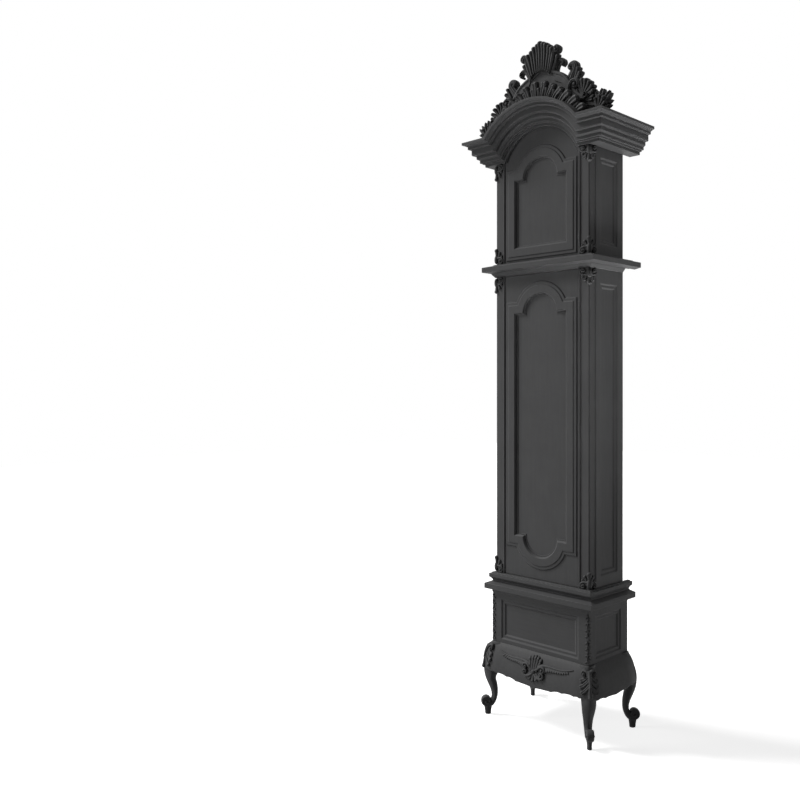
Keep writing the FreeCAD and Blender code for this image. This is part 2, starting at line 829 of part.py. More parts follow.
def bead_section(x0):
    bevel = (bead_width - bead_flat) / 2
    crown = body_front - bead_proud
    x1 = x0 + bead_width
    return [(x0, body_front), (x0 + bevel, crown), (x1 - bevel, crown), (x1, body_front)]


def door_outline(inset, y, top_z, low_z, arched_foot):
    """Outline of the door's moulding: shoulders and an arch, at the foot too where it is arched."""
    half = moulding_half - inset
    radius = door_arch - inset
    rise = door_shoulder - inset
    step = math.sqrt(radius ** 2 - rise ** 2)

    def end(centre, sign):
        level = centre + sign * rise
        return [V(half, y, level), V(step, y, level), V(0, y, centre + sign * radius),
                V(-step, y, level), V(-half, y, level)]

    def shoulders(points):
        return [Part.LineSegment(points[0], points[1]), Part.Arc(points[1], points[2], points[3]),
                Part.LineSegment(points[3], points[4])]

    top = end(top_z, 1)
    if arched_foot:
        low = end(low_z, -1)
        low.reverse()
        foot = shoulders(low)
    else:
        low = [V(-half, y, low_z + inset), V(half, y, low_z + inset)]
        foot = [Part.LineSegment(low[0], low[1])]
    edges = shoulders(top) + [Part.LineSegment(top[4], low[0])] + foot + [Part.LineSegment(low[-1], top[0])]
    return Part.Wire([edge.toShape() for edge in edges])


def make_door(name, board, top_z, low_z, arched_foot, heights):
    """Framed board with its stepped moulding, the blind panel in its window, and the moving leaves."""
    def ring(inset, y):
        return door_outline(inset, y, top_z, low_z, arched_foot)

    def slope(inset0, y0, inset1, y1):
        return Part.makeLoft([ring(inset0, y0), ring(inset1, y1)], True, True)

    insets = [share * door_ring for share in door_face_shares]
    face = body_front
    first = face - door_first_step
    second = first - door_second_step
    window = insets[4]
    stack = [board, slope(0, face, insets[0], first), slope(insets[1], first, insets[2], second)]
    deep = Part.Face(ring(window, second)).extrude(V(0, door_back - second + overrun, 0))
    hollow = slope(insets[3], second, window, face)
    frame = one(fused(stack), deep, hollow, *leaf_notches(heights))
    save(name + "_frame", [frame])
    panel_front = face + door_panel_set
    panel = Part.Face(ring(window + seat_gap, panel_front)).extrude(V(0, door_panel_thick, 0))
    field = Part.Face(ring(door_ring, panel_front)).extrude(V(0, door_panel_set, 0))
    save(name + "_panel", [one(panel, field)])
    save(name + "_hinges", moving_leaves(heights))


def make_trunk():
    save("trunk_sides", side_boards(trunk_z, slab_z, trunk_field_low, trunk_field_high))
    low = door_sill_z + sill_gap
    high = slab_z - throat_height - sill_gap
    heights = hinge_heights(low, high, trunk_hinge_shares)
    notches = hinge_notches(heights)
    right = post(trunk_z, slab_z)
    rail_top = box(-opening_half, opening_half, body_front, body_front + rail_depth, high + sill_gap, slab_z)
    rail_low = box(-opening_half, opening_half, body_front, body_front + rail_depth, trunk_z, door_sill_z)
    save("trunk_front_frame", [right.cut(notches), mirror_x(right), rail_top, rail_low])
    bead = prism_z(bead_section(opening_half), door_sill_z, slab_z - throat_height)
    save("trunk_beads", [bead.cut(notches), mirror_x(bead)])
    save("trunk_post_hinges", fixed_leaves(heights))
    throat = moulding(throat_profile_shares, slab_z - throat_height, throat_height, throat_side, throat_out,
                      body_back)
    save("throat_moulding", [throat.cut(body_core(slab_z, slab_z, body_back))])
    board = box(-door_half, door_half, body_front, door_back, low, high)
    top = slab_z - throat_height - trunk_door_top_margin - door_arch
    foot = door_sill_z + trunk_door_low_margin + door_arch
    make_door("trunk_door", board, top, foot, True, heights)


def make_carcass():
    half = side_inner - door_gap
    top = cornice_top_z - top_board - back_board_drop
    board = box(-half, half, body_back - back_board, body_back, trunk_z, top)
    save("back_board", [board])
    cheek = box(half - cheek_thick, half, cheek_front, body_back - back_board, seat_z - cheek_height, seat_z)
    save("seat_cheeks", both_sides(cheek))
    seat = box(-half, half, seat_front, seat_back, seat_z, seat_z + seat_board)
    holes = [disc_z(x, 0, chain_hole, seat_z - overrun, seat_z + overrun) for x in (-chain_x, chain_x)]
    save("seat_board", [seat.cut(holes)])


# Hood


def make_hood_slab():
    """Base of the hood: an open U that slides on the trunk, moulded outside."""
    lip_side = throat_side + run_gap
    lip_share = lip_side / slab_side
    near, far = slab_bead_shares
    rise = 1 + slab_bead / slab_height
    rows = ((lip_share, -slab_lip / slab_height), (1.0, 0.0), (1.0, 1.0), (far, rise - 0.2),
            (near, rise), (0.0, rise))
    block = moulding(rows, slab_z, slab_height, slab_side, slab_out, slab_back)
    inner = box(-side_inner, side_inner, post_back, slab_back + overrun, -overrun, hood_z + overrun)
    above = box(-body_half, body_half, body_front, slab_back + overrun, hood_z, hood_z + overrun)
    gap = run_gap + throat_side
    below = box(-body_half - gap, body_half + gap, body_front - gap, slab_back + overrun,
                slab_z - overrun, slab_z)
    save("hood_base", [one(block, inner, above, below)])


def arch_radius(up_share):
    return arch_inner + up_share * (arch_outer - arch_inner)


def make_cornice():
    """Stepped cornice on three sides, broken at the front by a concentric arch."""
    front = []
    right = []
    band = []
    for side, out, low, high in cornice_step_shares:
        for up in (low, high):
            z = cornice_z + up * cornice_height
            front.append((body_front - out * cornice_out, z))
            right.append((body_half + side * cornice_side, z))
            band.append((arch_radius(up), body_front - out * cornice_out))
    left = [(-x, z) for x, z in reversed(right)]
    wide = body_half + cornice_side
    across = prism_x(front + [(cornice_back, cornice_top_z), (cornice_back, cornice_z)], -wide, wide)
    along = prism_y(right + left, body_front - cornice_out, cornice_back)
    block = across.common(along)
    core = body_core(cornice_z, cornice_top_z, cornice_back)
    low_half = math.sqrt(arch_inner ** 2 - arch_drop ** 2)
    top_rise = cornice_top_z - arch_z
    high_half = math.sqrt(arch_outer ** 2 - top_rise ** 2)
    slope = (high_half - low_half) / cornice_height
    peak = cornice_z + arch_outer
    top_half = low_half + slope * arch_outer
    wedge_points = [(-low_half, cornice_z), (low_half, cornice_z), (top_half, peak), (-top_half, peak)]
    wedge = prism_y(wedge_points, body_front - cornice_out - overrun, body_front)
    wings = block.cut([core, wedge])
    band += [(arch_outer, body_front), (arch_inner, body_front)]
    wire = Part.makePolygon([V(r, y, arch_z) for r, y in band] + [V(band[0][0], band[0][1], arch_z)])
    ring = Part.Face(wire).revolve(V(0, 0, arch_z), V(0, -1, 0), 180)
    save("hood_cornice", [one(fused([wings, ring.common(wedge)]))])


def make_hood():
    save("hood_sides", side_boards(hood_z, cornice_top_z - top_board, hood_field_low,
                                   cornice_height - top_board + hood_field_high))
    low = hood_z + slab_bead + sill_gap
    heights = hinge_heights(low, arch_z, hood_hinge_shares)
    notches = hinge_notches(heights)
    right = post(hood_z, cornice_top_z)
    back = body_front + rail_depth
    sill = box(-opening_half, opening_half, body_front, back, hood_z, hood_z + slab_bead)
    outer = disc_y(0, arch_z, arch_opening + arch_rail, body_front, back)
    spandrel = box(-opening_half, opening_half, body_front, back, arch_z, cornice_top_z)
    upper = box(-opening_half, opening_half, body_front, back, arch_z, arch_z + overrun)
    rail = fused([spandrel, outer.common(upper)])
    opening = disc_y(0, arch_z, arch_opening, body_front - overrun, back + overrun)
    save("hood_front_frame", [right.cut(notches), mirror_x(right), sill, one(rail, opening)])
    bead = prism_z(bead_section(opening_half), hood_z + slab_bead, cornice_z)
    save("hood_beads", [bead.cut(notches), mirror_x(bead)])
    save("hood_post_hinges", fixed_leaves(heights))
    board = box(-door_half, door_half, body_front, door_back, low, arch_z)
    tall = box(-door_half, door_half, body_front, door_back, arch_z, arch_z + overrun)
    crown = disc_y(0, arch_z, arch_opening - door_gap, body_front, door_back).common(tall)
    make_door("hood_door", fused([board, crown]), cornice_z - hood_door_arch_drop, hood_z + hood_door_foot,
              False, heights)
    top = box(-body_half, body_half, post_back, body_back, cornice_top_z - top_board, cornice_top_z)
    mask_high = cornice_top_z - top_board
    mask = box(-opening_half, opening_half, back, back + mask_thick, hood_z, mask_high)
    window = fused([box(-mask_half, mask_half, back - overrun, back + overrun,
                        dial_z - mask_half, dial_z + mask_half),
                    disc_y(0, dial_z + mask_half, mask_arch, back - overrun, back + overrun)])
    save("hood_mask", [mask.cut(window)])
    strip = box(-opening_half, opening_half, back + mask_thick, post_back, mask_high, cornice_top_z)
    save("hood_top_board", [fused([top, strip])])


def crest_outline(y, inset):
    """Outline of the crest board; a larger inset gives its incised line."""
    points = [(x * crest_half, cornice_top_z + up * crest_height) for x, up in crest_outline_shares]
    top = (0, cornice_top_z + crest_height)
    corner = (crest_half, points[0][1] - crest_corner)
    start = (crest_half, cornice_top_z)
    half = [start, corner] + [(points[0][0] - crest_corner, points[0][1])] + points[1:]
    shares = [(x - inset * 0.7 * (1 if x > inset else 0), z - inset) for x, z in half]
    shares[0] = (half[0][0] - inset, half[0][1])
    left = [(-x, z) for x, z in reversed(shares)]
    return prism_y(shares + [(0, top[1] - inset)] + left, y, y + crest_thick)


def make_crest_board():
    board = crest_outline(body_front, 0)
    arch = disc_y(0, arch_z, arch_opening + arch_rail, body_front - overrun, body_front + overrun)
    inner = crest_outline(body_front - crest_thick + crest_line, crest_border)
    line = inner.cut(crest_outline(body_front - crest_thick - crest_line, crest_border + crest_line))
    save("crest_board", [one(board, arch, line)])


def crest_place(share):
    return share[0] * crest_half, cornice_top_z + share[1] * crest_height


def make_crest_carvings():
    front = body_front - carving_front
    back = body_front + carving_back
    board = crest_outline(body_front, 0)
    root = (0, cornice_top_z + shell_root_up)

    def shell_reach(share):
        return shell_radius * (1 - (1 - shell_wing_share) * (2 * share - 1) ** 2)

    shell = fan(root, 0, shell_reach, 90 - shell_spread, 90 + shell_spread, shell_lobes, front, back)
    boss = disc_y(root[0], root[1], shell_root_radius, front + flute_depth, back)
    save("crest_shell", [one(fused([shell, boss]), board)])

    def curl(place, radius):
        x, z = crest_place(place)
        rim = disc_y(x, z, radius, front, back)
        dish = disc_y(x, z, radius * 0.7, front, front + flute_depth)
        eye = disc_y(x, z, curl_hole, front, back)
        return fused([rim.cut(dish), eye])

    centre = crest_place(horseshoe_share)
    ring = disc_y(centre[0], centre[1], horseshoe_radius + horseshoe_band / 2, front + flute_depth, back)
    hole = disc_y(centre[0], centre[1], horseshoe_radius - horseshoe_band / 2, -overrun, overrun)
    above = (centre[0], centre[1] + overrun)
    gate_points = [centre, crest_place(inner_curl_share), above, crest_place(outer_curl_share)]
    gate = prism_y(gate_points, -overrun, overrun)
    scroll = [one(ring, hole, gate), curl(inner_curl_share, curl_radius), curl(outer_curl_share, curl_radius)]
    leaf = fan(crest_place(leaf_root_share), 0, constant(leaf_length), *leaf_angles, leaf_lobes, front, back)
    small_root = crest_place(small_shell_share)
    small = fan(small_root, 0, constant(small_shell_length), *small_shell_angles, small_shell_lobes,
                front, back)
    end_root = crest_place(end_fan_share)
    end_fan = fan(end_root, 0, constant(end_fan_length), *end_fan_angles, end_fan_lobes, front, back)
    foot_x, foot_z = crest_place(end_foot_share)
    foot = disc_y(foot_x, foot_z, end_curl_radius / 2, front + flute_depth, back)
    stem = prism_y([end_root, (foot_x, foot_z - end_curl_radius / 2), (foot_x, foot_z + end_curl_radius)],
                   front + flute_depth, back)
    pieces = scroll + [leaf, curl(rosette_share, rosette_radius), small, end_fan]
    pieces += [curl(end_curl_share, end_curl_radius), foot, stem]
    arch = disc_y(0, arch_z, arch_outer + run_gap, -overrun, body_front)
    cornice = box(-overrun, overrun, -overrun, overrun, -overrun, cornice_top_z)
    carving = fused(pieces).cut([board, arch, cornice])
    save("crest_scrolls", both_sides(carving))


def make_fringe():
    """Row of upright lobes along the top of the arch."""
    step = (180 - 2 * fringe_start_angle) / fringe_lobes
    centre = (0, arch_z)
    front = body_front - cornice_out + fringe_inset

    def arc(points):
        return Part.Arc(*[V(x, front, z) for x, z in points]).toShape()

    lobes = []
    for i in range(fringe_lobes):
        low = fringe_start_angle + i * step
        points = []
        for share, drop in ((0, 0.75), (0.5, 1.0), (1, 0.75)):
            angle = low + share * step
            swell = math.sin(math.pi * (angle - fringe_start_angle) / (180 - 2 * fringe_start_angle))
            height = fringe_end_height + (fringe_mid_height - fringe_end_height) * swell ** 2
            points.append(polar(centre, arch_outer + height * drop, angle))
        lobes.append(points)
    start, middle, end = [polar(centre, arch_outer, angle)
                          for angle in (fringe_start_angle, 90, 180 - fringe_start_angle)]
    edges = [arc(points) for points in lobes]
    edges += [segment(lobes[-1][2], end, front), arc([end, middle, start])]
    edges.append(segment(start, lobes[0][0], front))
    save("arch_fringe", [Part.Face(Part.Wire(edges)).extrude(V(0, fringe_thick, 0))])


def corner_half(z_volute, sign):
    """Half of a corner carving, on the front face: a volute and a leaf that points away from it."""
    radius = corner_reach * corner_volute_share
    y0, y1 = body_front - corner_proud, body_front
    volute = disc_y(post_half - corner_reach + radius, z_volute, radius, y0, y1)
    dish = disc_y(post_half - corner_reach + radius, z_volute, radius / 2, y0, y0 + corner_proud / 3)
    start = 180 if sign < 0 else 90

    def reach(share):
        return corner_height * (0.45 + 0.4 * (share if sign < 0 else 1 - share))

    root = (post_half, z_volute + sign * radius / 2)
    leaf = fan(root, 0, reach, start, start + 90, corner_leaf_lobes, y0, y1)
    return fused([volute.cut(dish), leaf])


def corner_carving(z_volute, sign):
    """Both halves of a corner carving, mirrored about the corner's diagonal, with a quarter round between."""
    half = corner_half(z_volute, sign)
    corner = V(post_half, body_front, 0)
    turned = half.mirror(corner, V(1, 1, 0))
    length = corner_height * 0.85
    low = z_volute - length if sign < 0 else z_volute
    core = disc_z(post_half, body_front, corner_proud, low, low + length)
    outline = [(-overrun, body_front), (post_half, body_front), (post_half, post_back),
               (body_half, post_back + side_bevel), (body_half, overrun), (-overrun, overrun)]
    body = prism_z(outline, -overrun, cornice_top_z)
    return one(fused([half, turned, core]), body)


def make_corner_carvings():
    radius = corner_reach * corner_volute_share
    high = cornice_z - radius
    low = hood_z + slab_bead + radius + run_gap
    save("hood_corner_carvings", both_sides(corner_carving(high, -1)) + both_sides(corner_carving(low, 1)))
    high = slab_z - throat_height - radius
    low = door_sill_z + radius + run_gap
    save("trunk_corner_carvings", both_sides(corner_carving(high, -1)) + both_sides(corner_carving(low, 1)))


# Movement


def wheel(x, z, radius, y, thick, spokes):
    """Crossed-out wheel: rim, spokes and hub."""
    disc = disc_y(x, z, radius, y, y + thick)
    hub = disc_y(x, z, wheel_hub, y, y + thick)
    hollow = disc_y(x, z, radius - wheel_rim, y, y + thick).cut(hub)
    for i in range(spokes):
        spoke = box(x, x + radius, y, y + thick, z - wheel_spoke / 2, z + wheel_spoke / 2)
        spoke.rotate(V(x, y, z), V(0, 1, 0), 360 * i / spokes)
        hollow = hollow.cut(spoke)
    return disc.cut(hollow)


def pivot_bores():
    """Holes in the plates for every arbor, and the wider one for the hour pipe."""
    places = [(0, dial_z), (third_offset_x, dial_z + third_offset_z), (0, dial_z + escape_drop),
              (0, anchor_z), (-great_offset_x, great_z), (great_offset_x, great_z), (hammer_out, hammer_z())]
    bores = [disc_y(x, z, pivot_radius + pin_gap, plate_front - overrun, plate_back + overrun)
             for x, z in places]
    pipe = disc_y(0, dial_z, hour_pipe_radius + pin_gap, plate_front - overrun, plate_front + plate_thick)
    return bores + [pipe]


def hammer_z():
    return plate_foot_z + plate_height - pillar_inset


def make_frame():
    low, high = plate_foot_z, plate_foot_z + plate_height
    bores = pivot_bores()
    front = box(-plate_half, plate_half, plate_front, plate_front + plate_thick, low, high).cut(bores)
    back = box(-plate_half, plate_half, plate_back - plate_thick, plate_back, low, high).cut(bores)
    places = [(low_pillar_x, low + pillar_inset), (plate_half - pillar_inset, high - pillar_inset / 2)]
    pillars = [disc_y(side * x, z, pillar_radius, plate_front + plate_thick, plate_back - plate_thick)
               for x, z in places for side in (-1, 1)]
    save("movement_frame", [front, back] + pillars)


def arbor(x, z, radius, y0, y1):
    """Arbor between the plates, with a thinner pivot through each of them."""
    return fused([disc_y(x, z, radius, y0, y1), disc_y(x, z, pivot_radius, plate_front, plate_back)])


def pinion(x, z, radius, plane):
    """Small wheel that is driven by the wheel in this plane."""
    return disc_y(x, z, radius, plane - pinion_width / 4, plane + pinion_width)


def make_trains():
    inner0, inner1 = plate_front + plate_thick + run_gap, plate_back - plate_thick - run_gap
    thick = wheel_thick
    nose = dial_front - minute_stand - arbor_nose
    centre = fused([disc_y(0, dial_z, arbor_radius, inner0, inner1),
                    disc_y(0, dial_z, pivot_radius, nose, plate_back),
                    wheel(0, dial_z, centre_wheel_radius, centre_plane, thick, 4),
                    pinion(0, dial_z, centre_pinion_radius, time_plane)])
    save("centre_wheel", [centre])
    x, z = third_offset_x, dial_z + third_offset_z
    reach = math.hypot(third_offset_x, escape_drop - third_offset_z)
    third_radius = reach - escape_pinion_radius - run_gap
    third = fused([arbor(x, z, arbor_radius, inner0, inner1),
                   wheel(x, z, third_radius, third_plane, thick, 4),
                   pinion(x, z, third_pinion_radius, centre_plane)])
    save("third_wheel", [third])
    z = dial_z + escape_drop
    escape = fused([arbor(0, z, arbor_radius, inner0, inner1),
                    pinion(0, z, escape_pinion_radius, third_plane)])
    teeth = []
    for i in range(escape_teeth):
        angle = 360 * i / escape_teeth
        beyond = escape_wheel_radius * 1.1
        points = [polar((0, z), escape_wheel_radius, angle),
                  polar((0, z), beyond, angle + 60 / escape_teeth),
                  polar((0, z), beyond, angle + 300 / escape_teeth)]
        teeth.append(prism_y(points, escape_plane, escape_plane + thick))
    rim = wheel(0, z, escape_wheel_radius, escape_plane, thick, 4).cut(teeth)
    save("escape_wheel", [one(fused([escape, rim]))])
    for name, side, plane in (("time_chain_wheel", -1, time_plane), ("strike_chain_wheel", 1, strike_plane)):
        x = side * great_offset_x
        wide, groove = chain_wheel_width / 2, chain_groove_width / 2
        parts = [arbor(x, great_z, arbor_radius, inner0, inner1),
                 disc_y(x, great_z, chain_wheel_radius, -wide, wide),
                 disc_y(x, great_z, chain_flange_radius, -wide, -groove),
                 disc_y(x, great_z, chain_flange_radius, groove, wide),
                 wheel(x, great_z, great_wheel_radius, plane, thick, 5)]
        save(name, [fused(parts)])


def make_escapement():
    """Anchor with two pallets over the escape wheel, and the crutch behind the back plate."""
    y0, y1 = escape_plane - pallet_thick / 4, escape_plane + wheel_thick + pallet_thick / 4
    inner0, inner1 = plate_front + plate_thick + run_gap, plate_back - plate_thick - run_gap
    z = anchor_z
    tip = z - pallet_reach * 0.85
    toe = tip - pallet_thick / 4
    arm = prism_y([(0, z + pallet_thick), (pallet_reach + pallet_thick / 2, tip + pallet_thick),
                   (pallet_reach + pallet_thick / 2, toe), (pallet_reach - pallet_thick / 4, toe),
                   (0, z - pallet_thick / 2)], y0, y1)
    rod = [disc_y(0, z, arbor_radius, inner0, inner1),
           disc_y(0, z, pivot_radius, plate_front, crutch_back + pallet_thick)]
    foot_z = z - crutch_length
    crutch = box(-crutch_width / 2, crutch_width / 2, crutch_back, crutch_back + pallet_thick / 2,
                 foot_z, z + crutch_width)
    room = rod_radius + run_gap
    wide = room + crutch_fork
    block = box(-wide, wide, crutch_back, pendulum_y + rod_radius + crutch_fork,
                foot_z, foot_z + crutch_width)
    slot = box(-room, room, pendulum_y - room, pendulum_y + overrun, foot_z, foot_z + crutch_width)
    save("pallet_anchor", [one(fused([arm, mirror_x(arm)] + rod + [crutch, block.cut(slot)]))])
    top = anchor_z + cock_height
    half = cock_width / 2
    foot = box(-half, half, plate_back, plate_back + cock_thick, anchor_z + pivot_radius * 3, top)
    arm = box(-half, half, plate_back, pendulum_y + cock_thick, top - cock_thick, top)
    cheek = box(rod_radius + crutch_fork, half, pendulum_y - cock_thick, pendulum_y + cock_thick,
                top - cock_height * 0.7, top)
    save("back_cock", [fused([foot, arm, cheek, mirror_x(cheek)])])


def make_pendulum():
    y = pendulum_y
    foot = anchor_z - pendulum_length
    bob_z = foot + nut_drop + nut_height + bob_radius
    strip_top = anchor_z + cock_height - cock_thick - run_gap
    rod = disc_z(0, y, rod_radius, foot, anchor_z)
    hook = disc_y(0, anchor_z, rod_radius, y - rod_radius, y + rod_radius)
    strip = box(-rod_radius, rod_radius, y - run_gap, y + run_gap, anchor_z, strip_top)
    save("pendulum_rod", [fused([rod, hook, strip])])
    half = bob_thick / 2
    crown = (bob_radius ** 2 + half ** 2) / (2 * half)
    front = Part.makeSphere(crown, V(0, y - half + crown, bob_z))
    lens = front.common(Part.makeSphere(crown, V(0, y + half - crown, bob_z)))
    rim = disc_y(0, bob_z, bob_radius, y - bob_rim / 2, y + bob_rim / 2)
    bore = disc_z(0, y, rod_radius + pin_gap, foot, anchor_z)
    nut = disc_z(0, y, nut_radius, bob_z - bob_radius - nut_height, bob_z - bob_radius - pin_gap)
    save("pendulum_bob", [one(fused([lens, rim]), bore), nut.cut(bore)])


def make_weights():
    top = weight_top_z
    low = top - weight_height
    neck = weight_radius - weight_cap
    for kind, x in (("time", -chain_x), ("strike", chain_x)):
        body = [disc_z(x, 0, weight_radius, low + weight_cap, top - weight_cap),
                Part.makeCone(neck, weight_radius, weight_cap, V(x, 0, low)),
                Part.makeCone(weight_radius, neck, weight_cap, V(x, 0, top - weight_cap)),
                disc_z(x, 0, hook_radius, top, top + hook_height)]
        save(kind + "_weight", [fused(body)])
        save(kind + "_chain", [disc_z(x, 0, chain_radius, top + hook_height, great_z)])


def make_bell():
    z = plate_foot_z + plate_height + bell_up
    y = 0
    outer = Part.makeSphere(bell_radius, V(0, y, z - bell_radius)).common(
        box(-overrun, overrun, -overrun, overrun, z - bell_radius, z + overrun))
    inner = Part.makeSphere(bell_radius - bell_wall, V(0, y, z - bell_radius))
    post_y = plate_back + bell_post
    low = plate_foot_z + plate_height - 2 * pillar_inset
    arm_z = z + bell_post / 2
    stand = [box(-bell_post, bell_post, plate_back, plate_back + bell_post, low, arm_z + bell_post),
             box(-bell_post, bell_post, -bell_post, plate_back + bell_post, arm_z, arm_z + bell_post),
             disc_z(0, y, bell_post / 2, z - bell_wall, arm_z)]
    moved = [piece.translated(V(bell_shift, 0, 0)) for piece in stand]
    save("bell", [fused([outer.cut(inner).translated(V(bell_shift, 0, 0))] + moved)])
    rim_z = z - bell_radius
    x = bell_shift + bell_radius + hammer_gap + hammer_head
    head = Part.makeSphere(hammer_head, V(x, y, rim_z + hammer_head))
    base_z = hammer_z()
    inner0, inner1 = plate_front + plate_thick + run_gap, plate_back - plate_thick - run_gap
    shaft = arbor(hammer_out, base_z, arbor_radius, inner0, inner1)
    head_z = rim_z + hammer_head
    arm = prism_y([(hammer_out - arbor_radius, base_z), (hammer_out + arbor_radius, base_z),
                   (x + arbor_radius, head_z), (x, head_z)], -arbor_radius / 2, arbor_radius / 2)
    save("bell_hammer", [fused([shaft, arm, head])])


# Dial


def make_dial():
    y0, y1 = dial_front, dial_front + dial_thick
    plate = fused([box(-dial_half, dial_half, y0, y1, dial_z - dial_half, dial_z + dial_half),
                   disc_y(0, dial_z + dial_half, dial_arch, y0, y1)])
    bore = disc_y(0, dial_z, hour_pipe_radius + pin_gap, y0 - overrun, y1 + overrun)
    heights = (plate_foot_z + pillar_inset, plate_foot_z + plate_height - pillar_inset)
    feet = [disc_y(x * (plate_half - pillar_inset), z, foot_radius, y1, plate_front)
            for x in (-1, 1) for z in heights]
    save("dial_plate", [fused([plate.cut(bore)] + feet)])
    hole = disc_y(0, dial_z, ring_inner, y0 - overrun, y0 + overrun)
    save("chapter_ring", [disc_y(0, dial_z, ring_outer, y0 - ring_thick, y0).cut(hole)])


def hand_blade(length, y):
    """Pierced hand that points up, with a boss at its middle."""
    z = dial_z
    wide = hand_width / 2
    half = [(wide / 4, z - length * 0.18), (wide / 2, z + length * 0.3), (wide, z + length * 0.6),
            (wide / 2, z + length * 0.75)]
    outline = half + [(0, z + length)] + [(-x, up) for x, up in reversed(half)]
    blade = prism_y(outline, y, y + hand_thick)
    pierced = disc_y(0, z + length * 0.58, wide * 0.45, y, y + hand_thick)
    return fused([blade.cut(pierced), disc_y(0, z, hand_boss, y, y + hand_thick)])


def make_hands():
    y = dial_front - hour_stand
    pipe = disc_y(0, dial_z, hour_pipe_radius, y + hand_thick, plate_front + plate_thick)
    bore = disc_y(0, dial_z, pivot_radius + pin_gap, y - overrun, plate_back)
    save("hour_hand", [fused([hand_blade(hour_length, y), pipe]).cut(bore)])
    y = dial_front - minute_stand
    eye = disc_y(0, dial_z, pivot_radius + pin_gap / 2, y - overrun, y + overrun)
    save("minute_hand", [hand_blade(minute_length, y).cut(eye)])


os.makedirs("parts", exist_ok=True)
make_legs()
make_aprons()
make_apron_carving()
make_knee_carvings()
make_plinth()
make_garlands()
make_base_mouldings()
make_trunk()
make_carcass()
make_hood_slab()
make_cornice()
make_hood()
make_crest_board()
make_crest_carvings()
make_fringe()
make_corner_carvings()
make_frame()
make_trains()
make_escapement()
make_pendulum()
make_weights()
make_bell()
make_dial()
make_hands()
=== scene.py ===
import json
import math

import bmesh
import bpy
import numpy as np
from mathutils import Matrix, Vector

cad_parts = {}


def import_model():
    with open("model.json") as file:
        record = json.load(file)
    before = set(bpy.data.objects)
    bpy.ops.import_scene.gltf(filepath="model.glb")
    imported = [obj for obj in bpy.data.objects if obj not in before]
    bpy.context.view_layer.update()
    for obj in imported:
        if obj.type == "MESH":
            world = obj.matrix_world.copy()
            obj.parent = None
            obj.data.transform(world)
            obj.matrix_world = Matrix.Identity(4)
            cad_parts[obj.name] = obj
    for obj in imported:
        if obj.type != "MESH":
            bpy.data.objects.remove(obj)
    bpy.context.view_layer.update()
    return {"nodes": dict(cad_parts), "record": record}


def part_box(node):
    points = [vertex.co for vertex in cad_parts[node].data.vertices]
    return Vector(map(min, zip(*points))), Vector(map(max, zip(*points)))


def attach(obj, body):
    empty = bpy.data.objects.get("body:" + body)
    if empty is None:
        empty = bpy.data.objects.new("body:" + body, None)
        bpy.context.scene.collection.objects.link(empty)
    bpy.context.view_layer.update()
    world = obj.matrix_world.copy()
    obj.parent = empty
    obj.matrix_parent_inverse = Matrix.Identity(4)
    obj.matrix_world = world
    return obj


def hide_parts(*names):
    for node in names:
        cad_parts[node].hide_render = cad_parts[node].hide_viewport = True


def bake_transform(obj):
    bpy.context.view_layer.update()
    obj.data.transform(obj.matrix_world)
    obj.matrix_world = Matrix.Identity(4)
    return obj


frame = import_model()
nodes = frame["nodes"]

# Sizes of the frame in millimetres, as the CAD model has them
BODY_FRONT = -102.8
POST_HALF = 218.0
PLINTH_HALF = 222.5
PLINTH_FRONT = -117.0
PLINTH_BACK = 142.8
PLINTH_LOW = 290.0
PLINTH_HIGH = 482.0
CORNICE_LOW = 2167.0
CORNICE_TOP = 2261.7
ARCH_Z = 2090.0
ARCH_OUTER = 273.9
DIAL_Z = 1975.0
SWELL = 36.0
APRON = 123.0

# Where carvings and weight lines stand, in millimetres
FRINGE_PLANE = -139.0
HOOD_CARVING_LOW = 1774.0
TRUNK_CARVING_TOP = 1722.5
TRUNK_CARVING_LOW = 560.0
CORNER_RADIUS = 4.0
CHAIN_X = 52.3

# Rear planes of the carvings, in millimetres in front of the surface that they stand on
CREST_BACK = -15
CURL_BACK = -26.5
FRINGE_BACK = -12
LEAF_BACK = -3
KNEE_BACK = -4
GARLAND_BACK = -2

# Numbers that the carvings have in common: shares, degrees and steps
EDGE_SHARE = 0.4
VOLUTE_GROOVE = 1.5
VOLUTE_END = 0.38
SHARP_ANGLE = 38.0
SOFTEN_STEPS = 2


# Camera, as it stood for the photograph

camera_data = bpy.data.cameras.new("camera")
camera_data.lens = 38.709
camera_data.sensor_width = 36.0
camera_data.shift_x = -0.01476
camera_data.shift_y = -0.01939
camera = bpy.data.objects.new("camera", camera_data)
camera.location = (1.97947, -2.7310, 1.30038)
camera.rotation_euler = (math.pi / 2, 0, 0.7942)
bpy.context.scene.collection.objects.link(camera)
bpy.context.scene.camera = camera


# Materials

EVEN = (1.0, 1.0, 1.0)
SHADER_SAMPLES = 6
EDGE_TURN = (0.97, 0.8)
HOLLOW_LIGHT = (0.75, 0.15)


def node_kit(name):
    """New material with its tree, its shader and a helper that adds nodes."""
    material = bpy.data.materials.new(name)
    material.use_nodes = True
    tree = material.node_tree
    shader = tree.nodes["Principled BSDF"]

    def add(kind, **settings):
        made = tree.nodes.new(kind)
        for key, value in settings.items():
            if key in made.inputs:
                made.inputs[key].default_value = value
            else:
                setattr(made, key, value)
        return made

    return material, tree, shader, add


def grown_noise(add, tree, scale, stretch, detail=4.0, roughness=0.55):
    """Noise in the object's own metres, stretched along one direction."""
    place = add("ShaderNodeTexCoord")
    mapping = add("ShaderNodeMapping")
    mapping.inputs["Scale"].default_value = stretch
    noise = add("ShaderNodeTexNoise", Scale=scale, Detail=detail, Roughness=roughness)
    tree.links.new(place.outputs["Object"], mapping.inputs["Vector"])
    tree.links.new(mapping.outputs["Vector"], noise.inputs["Vector"])
    return noise.outputs["Fac"]


